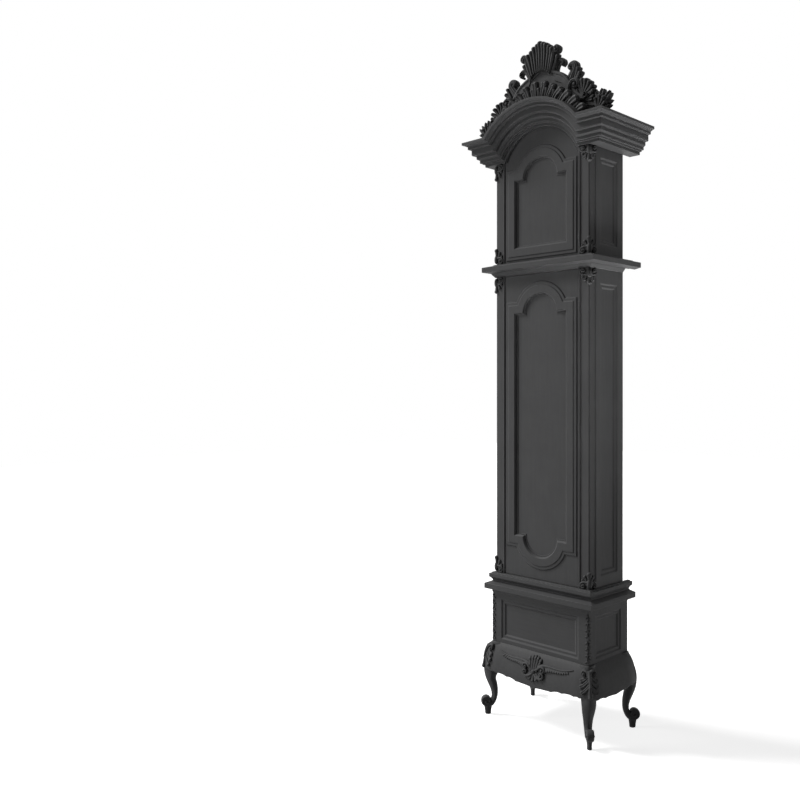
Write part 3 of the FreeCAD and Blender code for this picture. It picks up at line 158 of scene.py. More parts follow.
def ramp(add, tree, source, low, high):
    """Remaps a value between two limits to 0..1."""
    made = add("ShaderNodeMapRange")
    made.inputs["From Min"].default_value = low
    made.inputs["From Max"].default_value = high
    tree.links.new(source, made.inputs["Value"])
    return made.outputs["Result"]


def blend_colour(add, tree, share, first, second):
    """Mix of two colours, each a plain colour or another node's output."""
    made = add("ShaderNodeMix", data_type="RGBA")
    tree.links.new(share, made.inputs[0])
    for socket, value in ((made.inputs[6], first), (made.inputs[7], second)):
        if isinstance(value, tuple):
            socket.default_value = (*value, 1.0)
        else:
            tree.links.new(value, socket)
    return made.outputs[2]


def product(add, tree, first, second):
    """Product of an output and a number or another output."""
    made = add("ShaderNodeMath", operation="MULTIPLY")
    tree.links.new(first, made.inputs[0])
    if isinstance(second, (int, float)):
        made.inputs[1].default_value = second
    else:
        tree.links.new(second, made.inputs[1])
    return made.outputs[0]


def edge_wear(add, tree, radius):
    """Where the surface turns sharply outward: the rounded normal differs from the true one."""
    rounded = add("ShaderNodeBevel", samples=SHADER_SAMPLES)
    rounded.inputs["Radius"].default_value = radius
    geometry = add("ShaderNodeNewGeometry")
    dot = add("ShaderNodeVectorMath", operation="DOT_PRODUCT")
    tree.links.new(rounded.outputs["Normal"], dot.inputs[0])
    tree.links.new(geometry.outputs["Normal"], dot.inputs[1])
    return ramp(add, tree, dot.outputs["Value"], *EDGE_TURN), rounded.outputs["Normal"]


def hollow(add, tree, distance):
    """Where the surface lies deep between its neighbours."""
    made = add("ShaderNodeAmbientOcclusion", samples=SHADER_SAMPLES)
    made.inputs["Distance"].default_value = distance
    return ramp(add, tree, made.outputs["AO"], *HOLLOW_LIGHT)


def set_roughness(add, tree, shader, source, low, high):
    """Roughness between two limits, led by a value from 0 to 1."""
    rough = add("ShaderNodeMapRange")
    rough.inputs["To Min"].default_value = low
    rough.inputs["To Max"].default_value = high
    tree.links.new(source, rough.inputs["Value"])
    tree.links.new(rough.outputs["Result"], shader.inputs["Roughness"])


def set_bump(add, tree, shader, normal, height, strength, distance):
    """Fine relief on top of the rounded edges."""
    bump = add("ShaderNodeBump", Strength=strength, Distance=distance)
    tree.links.new(height, bump.inputs["Height"])
    tree.links.new(normal, bump.inputs["Normal"])
    tree.links.new(bump.outputs["Normal"], shader.inputs["Normal"])


def paint(name, base, light, dark, grain, rounding, wear_and_highlight=0.55, deep=0.012):
    """Matt paint over wood: brushed grain, cloudy colour, edges lightened partly by rubbed wear and
    partly as a painted highlight, and painted shade in the hollows.
    """
    material, tree, shader, add = node_kit(name)
    cloud = grown_noise(add, tree, 7.0, EVEN, 5.0)
    fine = grown_noise(add, tree, 120.0, grain, 6.0, 0.65)
    speck = grown_noise(add, tree, 900.0, EVEN, 2.0)
    wear, rounded = edge_wear(add, tree, rounding)
    wear_and_highlight_mask = product(add, tree, wear, ramp(add, tree, cloud, 0.35, 0.62))
    paler = tuple(c * 1.16 for c in base)
    colour = blend_colour(add, tree, ramp(add, tree, cloud, 0.3, 0.7), base, paler)
    colour = blend_colour(add, tree, product(add, tree, fine, 0.22), colour, dark)
    # Edges lightened towards the light colour: partly rubbed wear, partly a painted highlight.
    colour = blend_colour(add, tree, product(add, tree, wear_and_highlight_mask, wear_and_highlight), colour, light)
    # Painted shade: the hollows are darkened towards the dark colour.
    colour = blend_colour(add, tree, product(add, tree, hollow(add, tree, deep), 0.7), colour, dark)
    tree.links.new(colour, shader.inputs["Base Color"])
    set_roughness(add, tree, shader, fine, 0.46, 0.66)
    shader.inputs["Specular IOR Level"].default_value = 0.12
    height = add("ShaderNodeMath", operation="ADD")
    tree.links.new(fine, height.inputs[0])
    tree.links.new(product(add, tree, speck, 0.5), height.inputs[1])
    set_bump(add, tree, shader, rounded, height.outputs[0], 0.16, 0.0006)
    return material


def metal(name, base, dark, rough_low, rough_high, grain, rounding, bump):
    """Metal with fine polishing lines, cloudy tarnish and brighter edges."""
    material, tree, shader, add = node_kit(name)
    cloud = grown_noise(add, tree, 24.0, EVEN, 5.0)
    lines = grown_noise(add, tree, 260.0, grain, 3.0)
    wear, rounded = edge_wear(add, tree, rounding)
    colour = blend_colour(add, tree, ramp(add, tree, cloud, 0.38, 0.72), base, dark)
    bright = tuple(min(1.0, c * 1.25) for c in base)
    colour = blend_colour(add, tree, product(add, tree, wear, 0.4), colour, bright)
    # Colour darker in the hollows.
    darker_in_hollows = product(add, tree, hollow(add, tree, 0.004), 0.5)
    colour = blend_colour(add, tree, darker_in_hollows, colour, tuple(c * 0.3 for c in dark))
    tree.links.new(colour, shader.inputs["Base Color"])
    shader.inputs["Metallic"].default_value = 1.0
    set_roughness(add, tree, shader, cloud, rough_low, rough_high)
    set_bump(add, tree, shader, rounded, lines, bump, 0.0003)
    return material


def wood(name, base, dark):
    """Bare old oak: rings drawn out along the board, pores and a dry surface."""
    material, tree, shader, add = node_kit(name)
    warp = grown_noise(add, tree, 5.0, (1.0, 1.0, 0.12), 4.0)
    rings = grown_noise(add, tree, 55.0, (1.0, 1.0, 0.05), 5.0, 0.6)
    pores = grown_noise(add, tree, 420.0, (1.0, 1.0, 0.04), 3.0, 0.7)
    wear, rounded = edge_wear(add, tree, 0.0012)
    colour = blend_colour(add, tree, ramp(add, tree, rings, 0.35, 0.68), base, dark)
    streaks = product(add, tree, ramp(add, tree, warp, 0.35, 0.7), 0.5)
    colour = blend_colour(add, tree, streaks, colour, tuple(c * 1.3 for c in base))
    specks = product(add, tree, ramp(add, tree, pores, 0.52, 0.7), 0.6)
    colour = blend_colour(add, tree, specks, colour, tuple(c * 0.4 for c in dark))
    colour = blend_colour(add, tree, product(add, tree, wear, 0.35), colour,
                          tuple(c * 1.5 for c in base))
    tree.links.new(colour, shader.inputs["Base Color"])
    shader.inputs["Roughness"].default_value = 0.72
    set_bump(add, tree, shader, rounded, pores, 0.25, 0.0005)
    return material


CHARCOAL = (0.0565, 0.0565, 0.0575)
WORN_EDGE_AND_HIGHLIGHT = (0.17, 0.17, 0.172)
GRAIN_AND_SHADE_DARK = (0.012, 0.012, 0.0125)
upright_paint = paint("charcoal_paint", CHARCOAL, WORN_EDGE_AND_HIGHLIGHT, GRAIN_AND_SHADE_DARK, (1.0, 1.0, 0.06), 0.0015,
                      wear_and_highlight=0.7, deep=0.014)
# Paint of the mouldings and boards: grain along them, with a stronger painted edge highlight and a
# wider painted shade in the hollows than the upright paint.
level_paint = paint("charcoal_paint_level", CHARCOAL, WORN_EDGE_AND_HIGHLIGHT, GRAIN_AND_SHADE_DARK, (0.06, 1.0, 1.0), 0.002,
                    wear_and_highlight=1.0, deep=0.016)
carved_paint = paint("charcoal_paint_carved", tuple(c * 0.96 for c in CHARCOAL), WORN_EDGE_AND_HIGHLIGHT, GRAIN_AND_SHADE_DARK,
                     (1.0, 1.0, 0.25), 0.0008)
bare_wood = wood("bare_oak", (0.30, 0.19, 0.10), (0.15, 0.085, 0.04))
brass = metal("aged_brass", (0.66, 0.47, 0.20), (0.42, 0.28, 0.11), 0.24, 0.46, (1.0, 1.0, 0.2),
              0.0004, 0.10)
dial_brass = metal("dial_brass", (0.70, 0.52, 0.25), (0.50, 0.35, 0.15), 0.30, 0.5,
                   (0.15, 1.0, 1.0), 0.0005, 0.14)
steel = metal("blued_steel", (0.055, 0.07, 0.12), (0.03, 0.035, 0.06), 0.22, 0.38, (1.0, 1.0, 0.3),
              0.0003, 0.06)
grey_steel = metal("grey_steel", (0.42, 0.43, 0.45), (0.24, 0.245, 0.26), 0.28, 0.45,
                   (1.0, 1.0, 0.05), 0.0004, 0.08)
bell_bronze = metal("bell_bronze", (0.56, 0.42, 0.22), (0.36, 0.25, 0.12), 0.24, 0.42,
                    (1.0, 1.0, 6.0), 0.0004, 0.12)
silvered = metal("silvered_ring", (0.74, 0.73, 0.69), (0.55, 0.53, 0.47), 0.38, 0.55,
                 (0.2, 1.0, 1.0), 0.0004, 0.10)
black_wax = paint("black_wax", (0.014, 0.014, 0.015), (0.05, 0.05, 0.05), (0.004, 0.004, 0.004),
                  EVEN, 0.0003)
of_slot = {"case_paint": upright_paint, "bare_wood": bare_wood, "brass": brass, "steel": grey_steel,
           "bell_metal": bell_bronze, "silvered": silvered}
of_node = {"hour_hand": steel, "minute_hand": steel, "dial_plate": dial_brass}
for name in ("trunk_door_hinges", "trunk_post_hinges", "hood_door_hinges", "hood_post_hinges"):
    of_node[name] = upright_paint
for name in ("plinth_front", "base_mouldings", "throat_moulding",
             "hood_base", "hood_cornice", "hood_top_board"):
    of_node[name] = level_paint
slot_of = {row["node"]: row["material_slot"] for row in frame["record"]["subparts"]}


def dress(obj, material):
    obj.data.materials.clear()
    obj.data.materials.append(material)


for name, obj in nodes.items():
    dress(obj, of_node[name] if name in of_node else of_slot[slot_of[name]])


# Carving: closed skins swept along drawn lines


def smooth_path(points, count):
    """Even points on a smooth curve through the given ones."""
    p = np.asarray(points, float)
    p = np.vstack([2 * p[0] - p[1], p, 2 * p[-1] - p[-2]])
    fine = []
    for i in range(1, len(p) - 2):
        a, b, c, d = p[i - 1], p[i], p[i + 1], p[i + 2]
        for t in np.linspace(0, 1, 10, endpoint=False):
            fine.append(0.5 * (2 * b + (c - a) * t + (2 * a - 5 * b + 4 * c - d) * t ** 2
                               + (3 * b - a - 3 * c + d) * t ** 3))
    fine.append(p[-2])
    fine = np.array(fine)
    steps = np.linalg.norm(np.diff(fine, axis=0), axis=1)
    length = np.concatenate([[0.0], np.cumsum(steps)])
    at = np.linspace(0, length[-1], count)
    return np.stack([np.interp(at, length, fine[:, k]) for k in range(fine.shape[1])], axis=1)


def flat_front(u, v, h):
    """Places carving on the front plane of the body: h mm proud of it."""
    return np.stack([u, BODY_FRONT - h, v], axis=-1)


class Carving:
    """Collects closed skins, in millimetres."""

    def __init__(self, place=flat_front):
        self.place = place
        self.points = []
        self.faces = []

    def skin(self, rows):
        """Rows of equally many 3-D points, each a closed ring; both ends are capped."""
        rows = np.asarray(rows, float)
        start = len(self.points)
        count, wide = rows.shape[0], rows.shape[1]
        self.points.extend(rows.reshape(-1, 3).tolist())
        for i in range(count - 1):
            for j in range(wide):
                a = start + i * wide + j
                b = start + i * wide + (j + 1) % wide
                self.faces.append((a, b, b + wide, a + wide))
        self.faces.append(tuple(start + j for j in reversed(range(wide))))
        self.faces.append(tuple(start + (count - 1) * wide + j for j in range(wide)))

    def strip(self, path, half, height, back, flutes=0, depth=0.0):
        """Rounded band along (u, v) points, with a half width and a crest height for each."""
        path = np.asarray(path, float)
        tangent = np.gradient(path, axis=0)
        tangent /= np.maximum(np.linalg.norm(tangent, axis=1, keepdims=True), 1e-9)
        side = np.stack([tangent[:, 1], -tangent[:, 0]], axis=1)
        around = np.linspace(-1, 1, 9 + 6 * max(1, flutes))
        lateral = np.sin(around * math.pi / 2)
        arch = np.cos(around * math.pi / 2) ** 0.75
        groove = np.zeros_like(lateral)
        inside = groove
        if flutes:
            groove = 0.5 + 0.5 * np.cos(math.pi * (flutes + 1) * (lateral + 1))
            inside = (np.abs(lateral) < 1 - 0.6 / (flutes + 1)).astype(float)
        rows = []
        for i in range(len(path)):
            low = back + (height[i] - back) * EDGE_SHARE
            cut = depth * groove * inside * min(1.0, half[i] / 6.0)
            rise = low + (height[i] - low) * arch - cut
            u = path[i, 0] + side[i, 0] * half[i] * lateral
            v = path[i, 1] + side[i, 1] * half[i] * lateral
            under = np.array([0.92, 0.0, -0.92]) * half[i]
            u = np.concatenate([u, path[i, 0] + side[i, 0] * under])
            v = np.concatenate([v, path[i, 1] + side[i, 1] * under])
            h = np.concatenate([rise, [back, back, back]])
            rows.append(self.place(u, v, h))
        self.skin(rows)

    def petal(self, root, angle, length, root_half, tip_half, root_height, tip_height, back,
              bend=0.0, roll=3.0, flutes=0, depth=1.2, sharp=False):
        """Tongue from its root outwards, wider and higher to its rounded or pointed tip."""
        count = 26
        t = np.sin(np.linspace(0, 1, count) * math.pi / 2)
        heading = np.radians(angle + bend * t)
        steps = np.diff(t, prepend=0.0) * length
        path = np.stack([root[0] + np.cumsum(np.cos(heading) * steps),
                         root[1] + np.cumsum(np.sin(heading) * steps)], axis=1)
        half = root_half + (tip_half - root_half) * (np.sin(t * math.pi * 0.55) if sharp else t)
        if sharp:
            cap = np.sqrt(np.clip(1 - t ** 2.2, 0.0, 1.0))
        else:
            start = max(0.3, 1 - 1.05 * tip_half / length)
            cap = np.sqrt(np.clip(1 - np.clip((t - start) / (1 - start), 0, 1) ** 2, 0.0, 1.0))
        cap = np.maximum(cap, 0.06)
        rolled = roll * np.exp(-((t - 0.86) / 0.1) ** 2)
        height = root_height + (tip_height - root_height) * t ** 1.25 + rolled
        base = back + (height - back) * EDGE_SHARE
        height = base + (height - base) * np.maximum(cap, 0.25)
        self.strip(path, half * cap, height, back, flutes, depth)

    def toward(self, root, tip, root_half, tip_half, root_height, tip_height, back, **shape):
        """Petal from its root to a given tip."""
        across, up = tip[0] - root[0], tip[1] - root[1]
        angle = math.degrees(math.atan2(up, across)) - shape.get("bend", 0.0) * 0.38
        self.petal(root, angle, math.hypot(across, up), root_half, tip_half, root_height,
                   tip_height, back, **shape)

    def volute(self, stem, centre, radius, turns, sense, half, height, back, flutes, eye=None):
        """Band that follows its stem and rolls up round the centre; sense 1 turns anticlockwise."""
        last = np.asarray(stem[-1], float)
        start = math.atan2(last[1] - centre[1], last[0] - centre[0])
        first_radius = math.hypot(last[0] - centre[0], last[1] - centre[1])
        spiral = []
        parts = int(turns * 12)
        for k in range(1, parts + 1):
            share = k / parts
            angle = start + sense * share * turns * 2 * math.pi
            r = first_radius + (radius * 0.22 - first_radius) * share ** 0.85
            spiral.append((centre[0] + r * math.cos(angle), centre[1] + r * math.sin(angle)))
        path = smooth_path(list(stem) + spiral, 40 + parts * 3)
        count = len(path)
        share = np.linspace(0, 1, count)
        stem_share = min(0.75, len(stem) / (len(stem) + parts))
        taper = np.interp(share, [0, stem_share, 1], [half[0], half[1], half[1] * VOLUTE_END])
        crest = np.interp(share, [0, stem_share, 0.85, 1],
                          [height[0], height[1], height[1] - 1.0, height[1] + 1.0])
        taper[:4] *= np.linspace(0.5, 1, 4)
        self.strip(path, taper, crest, back, flutes, VOLUTE_GROOVE)
        self.dome(centre, eye if eye else radius * 0.34, height[1] + 2.5, back)

    def dome(self, centre, radius, height, back, sides=20):
        """Round boss with a half-ball face."""
        rows = []
        ball = min(radius, height - back - 1)
        for k in range(9):
            a = k / 8 * math.pi / 2
            rows.append((radius * math.cos(a), height - ball + ball * math.sin(a)))
        rows = [(radius, back)] + rows
        around = np.linspace(0, 2 * math.pi, sides, endpoint=False)
        skins = []
        for r, h in rows:
            r = max(r, radius * 0.05)
            u, v = centre[0] + r * np.cos(around), centre[1] + r * np.sin(around)
            skins.append(self.place(u, v, np.full(sides, h)))
        self.skin(skins)

    def mirrored(self):
        """The same carving on the other side too."""
        start = len(self.points)
        self.points += [[-x, y, z] for x, y, z in self.points]
        self.faces += [tuple(start + i for i in reversed(face)) for face in self.faces]


def make_object(name, carving, material, body, replaced, voxel=0.0):
    """Mesh of a carving in metres; with a voxel size its skins are melted into one surface."""
    mesh = bpy.data.meshes.new(name)
    mesh.from_pydata((np.asarray(carving.points) * 0.001).tolist(), [], carving.faces)
    tidy = bmesh.new()
    tidy.from_mesh(mesh)
    bmesh.ops.recalc_face_normals(tidy, faces=tidy.faces)
    tidy.to_mesh(mesh)
    tidy.free()
    obj = bpy.data.objects.new(name, mesh)
    bpy.context.scene.collection.objects.link(obj)
    if voxel:
        voxels = obj.modifiers.new("voxels", "REMESH")
        voxels.mode = "VOXEL"
        voxels.voxel_size = voxel
        soften = obj.modifiers.new("soften", "SMOOTH")
        soften.factor = 0.5
        soften.iterations = SOFTEN_STEPS
        graph = bpy.context.evaluated_depsgraph_get()
        done = bpy.data.meshes.new_from_object(obj.evaluated_get(graph))
        obj.modifiers.clear()
        obj.data = done
    for polygon in obj.data.polygons:
        polygon.use_smooth = True
    if not voxel:
        obj.data.set_sharp_from_angle(angle=math.radians(SHARP_ANGLE))
    dress(obj, material)
    if body:
        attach(obj, body)
    if replaced:
        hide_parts(*replaced)
    return obj


def carve(name, carving, body, replaced, voxel=0.0):
    """Carving in the paint of the case."""
    make_object(name, carving, carved_paint, body, replaced, voxel)


def joined(carvings):
    """One carving with the skins of several."""
    whole = Carving()
    for carving in carvings:
        start = len(whole.points)
        whole.points += carving.points
        whole.faces += [tuple(start + i for i in face) for face in carving.faces]
    return whole


# Crest


def crest_shell():
    """Great shell: nine upright flutes, and a tall lobe that curls away on each side."""
    shell = Carving()
    top = CORNICE_TOP
    roots = (222, 221.5, 220, 217, 212)
    tips = ((0, 337.4), (14, 332), (29, 324), (44, 313), (59, 302))
    for i in range(-4, 5):
        side = abs(i)
        x, up = tips[side]
        proud = 15.5 if i % 2 == 0 else 12.5
        shell.toward((i * 9.0, top + roots[side]), (math.copysign(x, i), top + up), 5.2, 9.8, 10,
                     proud, CREST_BACK, roll=3.0)
    for sign in (-1, 1):
        shell.volute([(sign * 41, top + 204), (sign * 50, top + 228), (sign * 59, top + 256),
                      (sign * 66, top + 283), (sign * 75, top + 297), (sign * 84, top + 291)],
                     (sign * 75, top + 283), 11, 0.7, -sign, (5.5, 10.0), (9, 14), CREST_BACK,
                     flutes=2, eye=6.0)
        shell.toward((sign * 47, top + 200), (sign * 83, top + 268), 4.0, 8.0, 4, 8, CREST_BACK,
                     bend=sign * 10, flutes=1)
        shell.toward((sign * 50, top + 196), (sign * 78, top + 250), 3.5, 6.0, 2, 5, CREST_BACK,
                     bend=sign * 14)
    carve("crest_shell_carving", shell, "hood", ["crest_shell"])


def crest_scrolls():
    """Everything on one side of the crest, and its mirror image."""
    side = Carving()
    top = CORNICE_TOP

    def lifted(points):
        return [(x, top + up) for x, up in points]

    def curl(points, half, height, eye, flutes=2):
        path = smooth_path(lifted(points), 60)
        share = np.linspace(0, 1, 60)
        wide = half * np.interp(share, (0, 0.3, 0.6, 0.85, 1), (0.7, 1.0, 0.85, 0.6, 0.42))
        side.strip(path, wide, np.interp(share, (0, 0.6, 1), (height - 5, height, height + 2)),
                   CURL_BACK, flutes, 2.0)
        side.dome(path[-1], eye, height + 3, CURL_BACK)

    curl(((56, 186), (59, 206), (64, 226), (74, 241), (87, 247), (98, 241), (101, 231), (95, 225)),
         10.0, -0.5, 4.5)
    curl(((112, 138), (122, 158), (133, 178), (144, 194), (150, 207), (145, 217), (134, 217),
          (126, 209), (131, 201)), 17.0, -0.5, 5.0, flutes=3)
    for tip, half in (((169, 200), 7.0), ((179, 181), 9.0), ((172, 163), 8.0), ((162, 146), 7.0)):
        side.toward((140, top + 146), (tip[0], top + tip[1]), 6.0, half, -4, 3, CURL_BACK, bend=10,
                    roll=2.0, flutes=1)
    edge = smooth_path(lifted(((0, 226), (30, 219), (58, 207), (84, 194), (104, 181), (122, 160),
                               (138, 134), (158, 106), (184, 82), (208, 64))), 60)
    side.strip(edge, np.interp(np.arange(60), (0, 12, 34, 59), (3.0, 7.5, 8.0, 12.0)),
               np.full(60, 3.2), -17)
    side.dome((167, top + 112), 17, 2, CURL_BACK)
    side.volute(lifted(((128, 112), (132, 134), (144, 149), (160, 151), (172, 142))),
                (159, top + 134), 15, 0.9, -1, (4.5, 8.0), (7, 14), CREST_BACK, flutes=2, eye=6.5)
    for tip, proud in (((172, 146), 9), ((189, 151), 13), ((208, 146), 15), ((226, 133), 15),
                       ((239, 115), 13), ((244, 96), 10)):
        side.toward((187, top + 80), (tip[0], top + tip[1]), 3.6, 8.6, 6, proud, CREST_BACK,
                    bend=-5, roll=3.5, flutes=1)
    side.volute(lifted(((152, 92), (168, 82), (190, 74), (208, 78))), (200, top + 88), 11, 1.0, 1,
                (3.5, 5.5), (6, 12), CREST_BACK, flutes=0)
    for tip, proud in (((234, 92), 7), ((243, 74), 9), ((236, 60), 6)):
        side.toward((196, top + 68), (tip[0], top + tip[1]), 4.0, 7.5, 4, proud, CREST_BACK, bend=8,
                    roll=2.5, flutes=1)
    for k, tip in enumerate(((234, 82), (246, 95), (263, 97), (280, 90), (296, 83), (309, 69),
                             (309, 47), (306, 28), (298, 12))):
        side.toward((254, top + 18), (tip[0], top + tip[1]), 4.5, 8.4, 5, (8, 12)[k % 2], -18,
                    bend=(-12, 12)[k % 2], roll=2.0, flutes=1, sharp=True)
    for tip in ((246, 66), (266, 74), (285, 64), (293, 42)):
        side.toward((258, top + 20), (tip[0], top + tip[1]), 4.0, 8.4, 10, 16, CREST_BACK, bend=-8,
                    roll=2.5, flutes=1)
    side.dome((258, top + 20), 9.0, 15, CREST_BACK)
    side.strip(smooth_path(lifted(((222, 14), (240, 20), (258, 14), (276, 7))), 20),
               np.linspace(3, 6.5, 20), np.linspace(5, 13, 20), CREST_BACK)
    side.mirrored()
    carve("crest_scroll_carving", side, "hood", ["crest_scrolls"])


def arch_fringe():
    """Row of thick rolled tongues along the arch, tallest in the middle."""
    def place(u, v, h):
        angle = np.pi / 2 - u / ARCH_OUTER
        radius = ARCH_OUTER + v
        return np.stack([radius * np.cos(angle), FRINGE_PLANE - h, ARCH_Z + radius * np.sin(angle)],
                        axis=-1)

    fringe = Carving(place)
    tongues = ((0, 75, 12.0), (27, 71, 12.0), (54, 62, 12.5), (84, 55, 15.0), (121, 49, 18.0),
               (162, 43, 19.0), (206, 35, 17.0))
    for side in (-1, 1):
        for i, (at, size, half) in enumerate(tongues):
            lean = -side * min(12, 4 * i)
            if i or side == 1:
                fringe.petal((side * at, -3), 90 + lean, size + 3, half * 0.7, half, 2, 7.5,
                             FRINGE_BACK, bend=3 * lean, roll=4.0, flutes=1, depth=3.0)
            if i < len(tongues) - 1:
                middle = (at + tongues[i + 1][0]) / 2
                fringe.petal((side * middle, -3), 90 + lean, size * 0.7, 5.0, half * 0.58, -2, 2,
                             FRINGE_BACK, bend=2 * lean, roll=2.5)
    fringe.strip(smooth_path([(-232, -1), (0, -1), (232, -1)], 120), np.full(120, 3.5),
                 np.full(120, 5.0), FRINGE_BACK)
    carve("arch_fringe_carving", fringe, "hood", ["arch_fringe"])


def corner_place(corner_x, corner_y, radius, sign):
    """Wraps carving round an upright corner: u is 0 at the corner and positive on the side."""
    quarter = radius * math.pi / 4

    def place(u, v, h):
        turn = np.clip((u + quarter) / (2 * quarter), 0, 1)
        angle = -math.pi / 2 + turn * math.pi / 2
        reach = radius + h
        x = corner_x - radius + reach * np.cos(angle) + np.minimum(u + quarter, 0)
        y = corner_y + radius + reach * np.sin(angle) + np.maximum(u - quarter, 0)
        return np.stack([sign * x, y, v + 0 * x], axis=-1)

    return place


def corner_palmette(carving, top, sign):
    """Volutes at the moulding, a smooth bulb on the corner and leaves that hang from it."""
    def at(u, v):
        return (u, top + sign * v)

    up = 90 * sign
    for share, length, half in ((0, 50, 8.5), (-1, 40, 6.4), (1, 40, 6.4), (-2, 31, 6.0),
                                (2, 31, 6.0)):
        carving.petal(at(share * 5, 13), up - sign * share * 19, length, 4.0, half, 3,
                      7.5 - abs(share), LEAF_BACK, bend=-sign * share * 10, roll=2.0,
                      flutes=1 if share else 0)
    for k in range(9):
        turn = k / 8 * math.pi
        carving.dome(at(0, 20 + 11 * math.cos(turn)), 5 + 5 * math.sin(turn),
                     5.5 + 3.4 * math.sin(turn), LEAF_BACK, 16)
    for side in (-1, 1):
        sense = side * sign
        carving.volute([at(side * 3, 28), at(side * 11, 25), at(side * 20, 25), at(side * 32, 21),
                        at(side * 35, 11)], at(side * 25, 12), 11, 1.25, -sense, (3.2, 4.4),
                       (5, 8.0), LEAF_BACK, flutes=0, eye=3.8)


def corner_carvings():
    places = {"hood": (CORNICE_LOW, HOOD_CARVING_LOW, "hood_corner_carvings"),
              "case": (TRUNK_CARVING_TOP, TRUNK_CARVING_LOW, "trunk_corner_carvings")}
    for body, (high, low, node) in places.items():
        both = []
        for sign in (-1, 1):
            carving = Carving(corner_place(POST_HALF, BODY_FRONT, CORNER_RADIUS, sign))
            corner_palmette(carving, high, -1)
            corner_palmette(carving, low, 1)
            both.append(carving)
        carve(body + "_corner_leaves", joined(both), body, [node])


# Base: the swelling aprons and the four legs are one carved surface


SWELL_SHARES = ((0.0, 0.0), (0.12, 0.3), (0.32, 0.62), (0.55, 0.82), (0.77, 0.95), (0.96, 1.0))
SWELL_LINE = smooth_path(SWELL_SHARES, 60)
CORNER_SHARE = 0.72
CORNER_RUN = 60.0


def swell(z):
    """How far the bombe face stands out at a height."""
    return SWELL * np.interp((PLINTH_LOW - z) / APRON, SWELL_LINE[:, 0], SWELL_LINE[:, 1])


def held_back(distance):
    """Share of the swelling that is left near a corner, where the faces meet in a sharp ridge."""
    near = np.clip(1 - distance / CORNER_RUN, 0, 1)
    return 1 - (1 - CORNER_SHARE) * near ** 2


def scallop_drop(x, y, across):
    """Depth of the apron's lower edge below the plinth: waved, with small lips beside the legs."""
    if across:
        share = abs(x) / PLINTH_HALF
        drop = np.interp(share, (0.0, 0.247, 0.449, 0.674, 0.921, 1.0),
                         (123, 122, 114, 110, 109, 109))
        lips = ((0.0, 26.0, 2.5), (74.0, 9.0, 2.8), (116.0, 8.0, 2.8), (163.0, 8.0, 3.0),
                (186.0, 7.0, 3.6))
        for centre, wide, deep in lips:
            drop += deep * math.exp(-((abs(x) - centre) / wide) ** 2)
        return drop
    middle = (PLINTH_FRONT + PLINTH_BACK) / 2
    share = abs(y - middle) / ((PLINTH_BACK - PLINTH_FRONT) / 2)
    drop = np.interp(share, (0.0, 0.346, 0.693, 1.0), (124, 121, 116, 115))
    for centre, wide, deep in ((0.0, 20.0, 1.5), (58.0, 8.0, 2.4), (98.0, 7.0, 4.0)):
        drop += deep * math.exp(-((abs(y - middle) - centre) / wide) ** 2)
    return drop


def apron_skin(carving):
    """Closed ring round the four sides, mitred at the corners."""
    middle = (PLINTH_FRONT + PLINTH_BACK) / 2
    deep = (PLINTH_BACK - PLINTH_FRONT) / 2
    stations = []
    for turn in range(4):
        across = turn % 2 == 0
        length = PLINTH_HALF if across else deep
        for share in np.linspace(-1, 1, 120, endpoint=False):
            if across:
                drop = scallop_drop(share * PLINTH_HALF, 0, True)
            else:
                drop = scallop_drop(0, middle + share * deep, False)
            stations.append((turn, share, length, deep if across else PLINTH_HALF, drop))
    rows = []
    for turn, share, length, face, drop in stations:
        ring = []
        lip = PLINTH_LOW - drop + 4
        profile = [(z, float(swell(z))) for z in np.linspace(PLINTH_LOW, lip, 22)]
        low = profile[-1][1]
        profile += [(lip - 4 * math.sin(a), low - 4 + 4 * math.cos(a)) for a in (0.5, 1.0, 1.5)]
        profile += [(PLINTH_LOW - drop, -16.0), (PLINTH_LOW, -16.0)]
        for z, out in profile:
            reach = out * held_back(length * (1 - abs(share))) if out > 0 else out
            spread = out * CORNER_SHARE if out > 0 else out
            along, off = share * (length + spread), face + reach
            x, y = ((along, -off), (off, along), (-along, off), (-off, -along))[turn]
            ring.append((x, y + middle, z))
        rows.append(ring)
    start = len(carving.points)
    wide = len(rows[0])
    for ring in rows:
        carving.points.extend([list(p) for p in ring])
    count = len(rows)
    for i in range(count):
        for j in range(wide):
            a = start + i * wide + j
            b = start + i * wide + (j + 1) % wide
            c = start + ((i + 1) % count) * wide + (j + 1) % wide
            d = start + ((i + 1) % count) * wide + j
            carving.faces.append((a, b, c, d))


# Outer point, inner point and half width of a leg's stem, from the plinth down
LEG_ROWS = (
    ((4, 289), (-50, 289), 29), ((17, 255), (-46, 250), 29), ((29.5, 228), (-40, 222), 29),
    ((36, 198), (-32, 190), 28.5), ((35.5, 172), (-20, 164), 27.5), ((31.5, 150), (-12, 144), 26),
    ((24.5, 131), (-16, 124), 23.5), ((17, 114), (-19, 106), 20.5), ((10.5, 99), (-19.5, 92), 18),
    ((6.5, 84), (-19, 78), 16.5), ((6, 72), (-16, 62), 15), ((9, 62), (-10, 47), 14.5),
    ((15, 55), (-2, 35), 14), ((20, 51), (10, 27.5), 13.5), ((26, 49), (24.5, 27), 13),
)


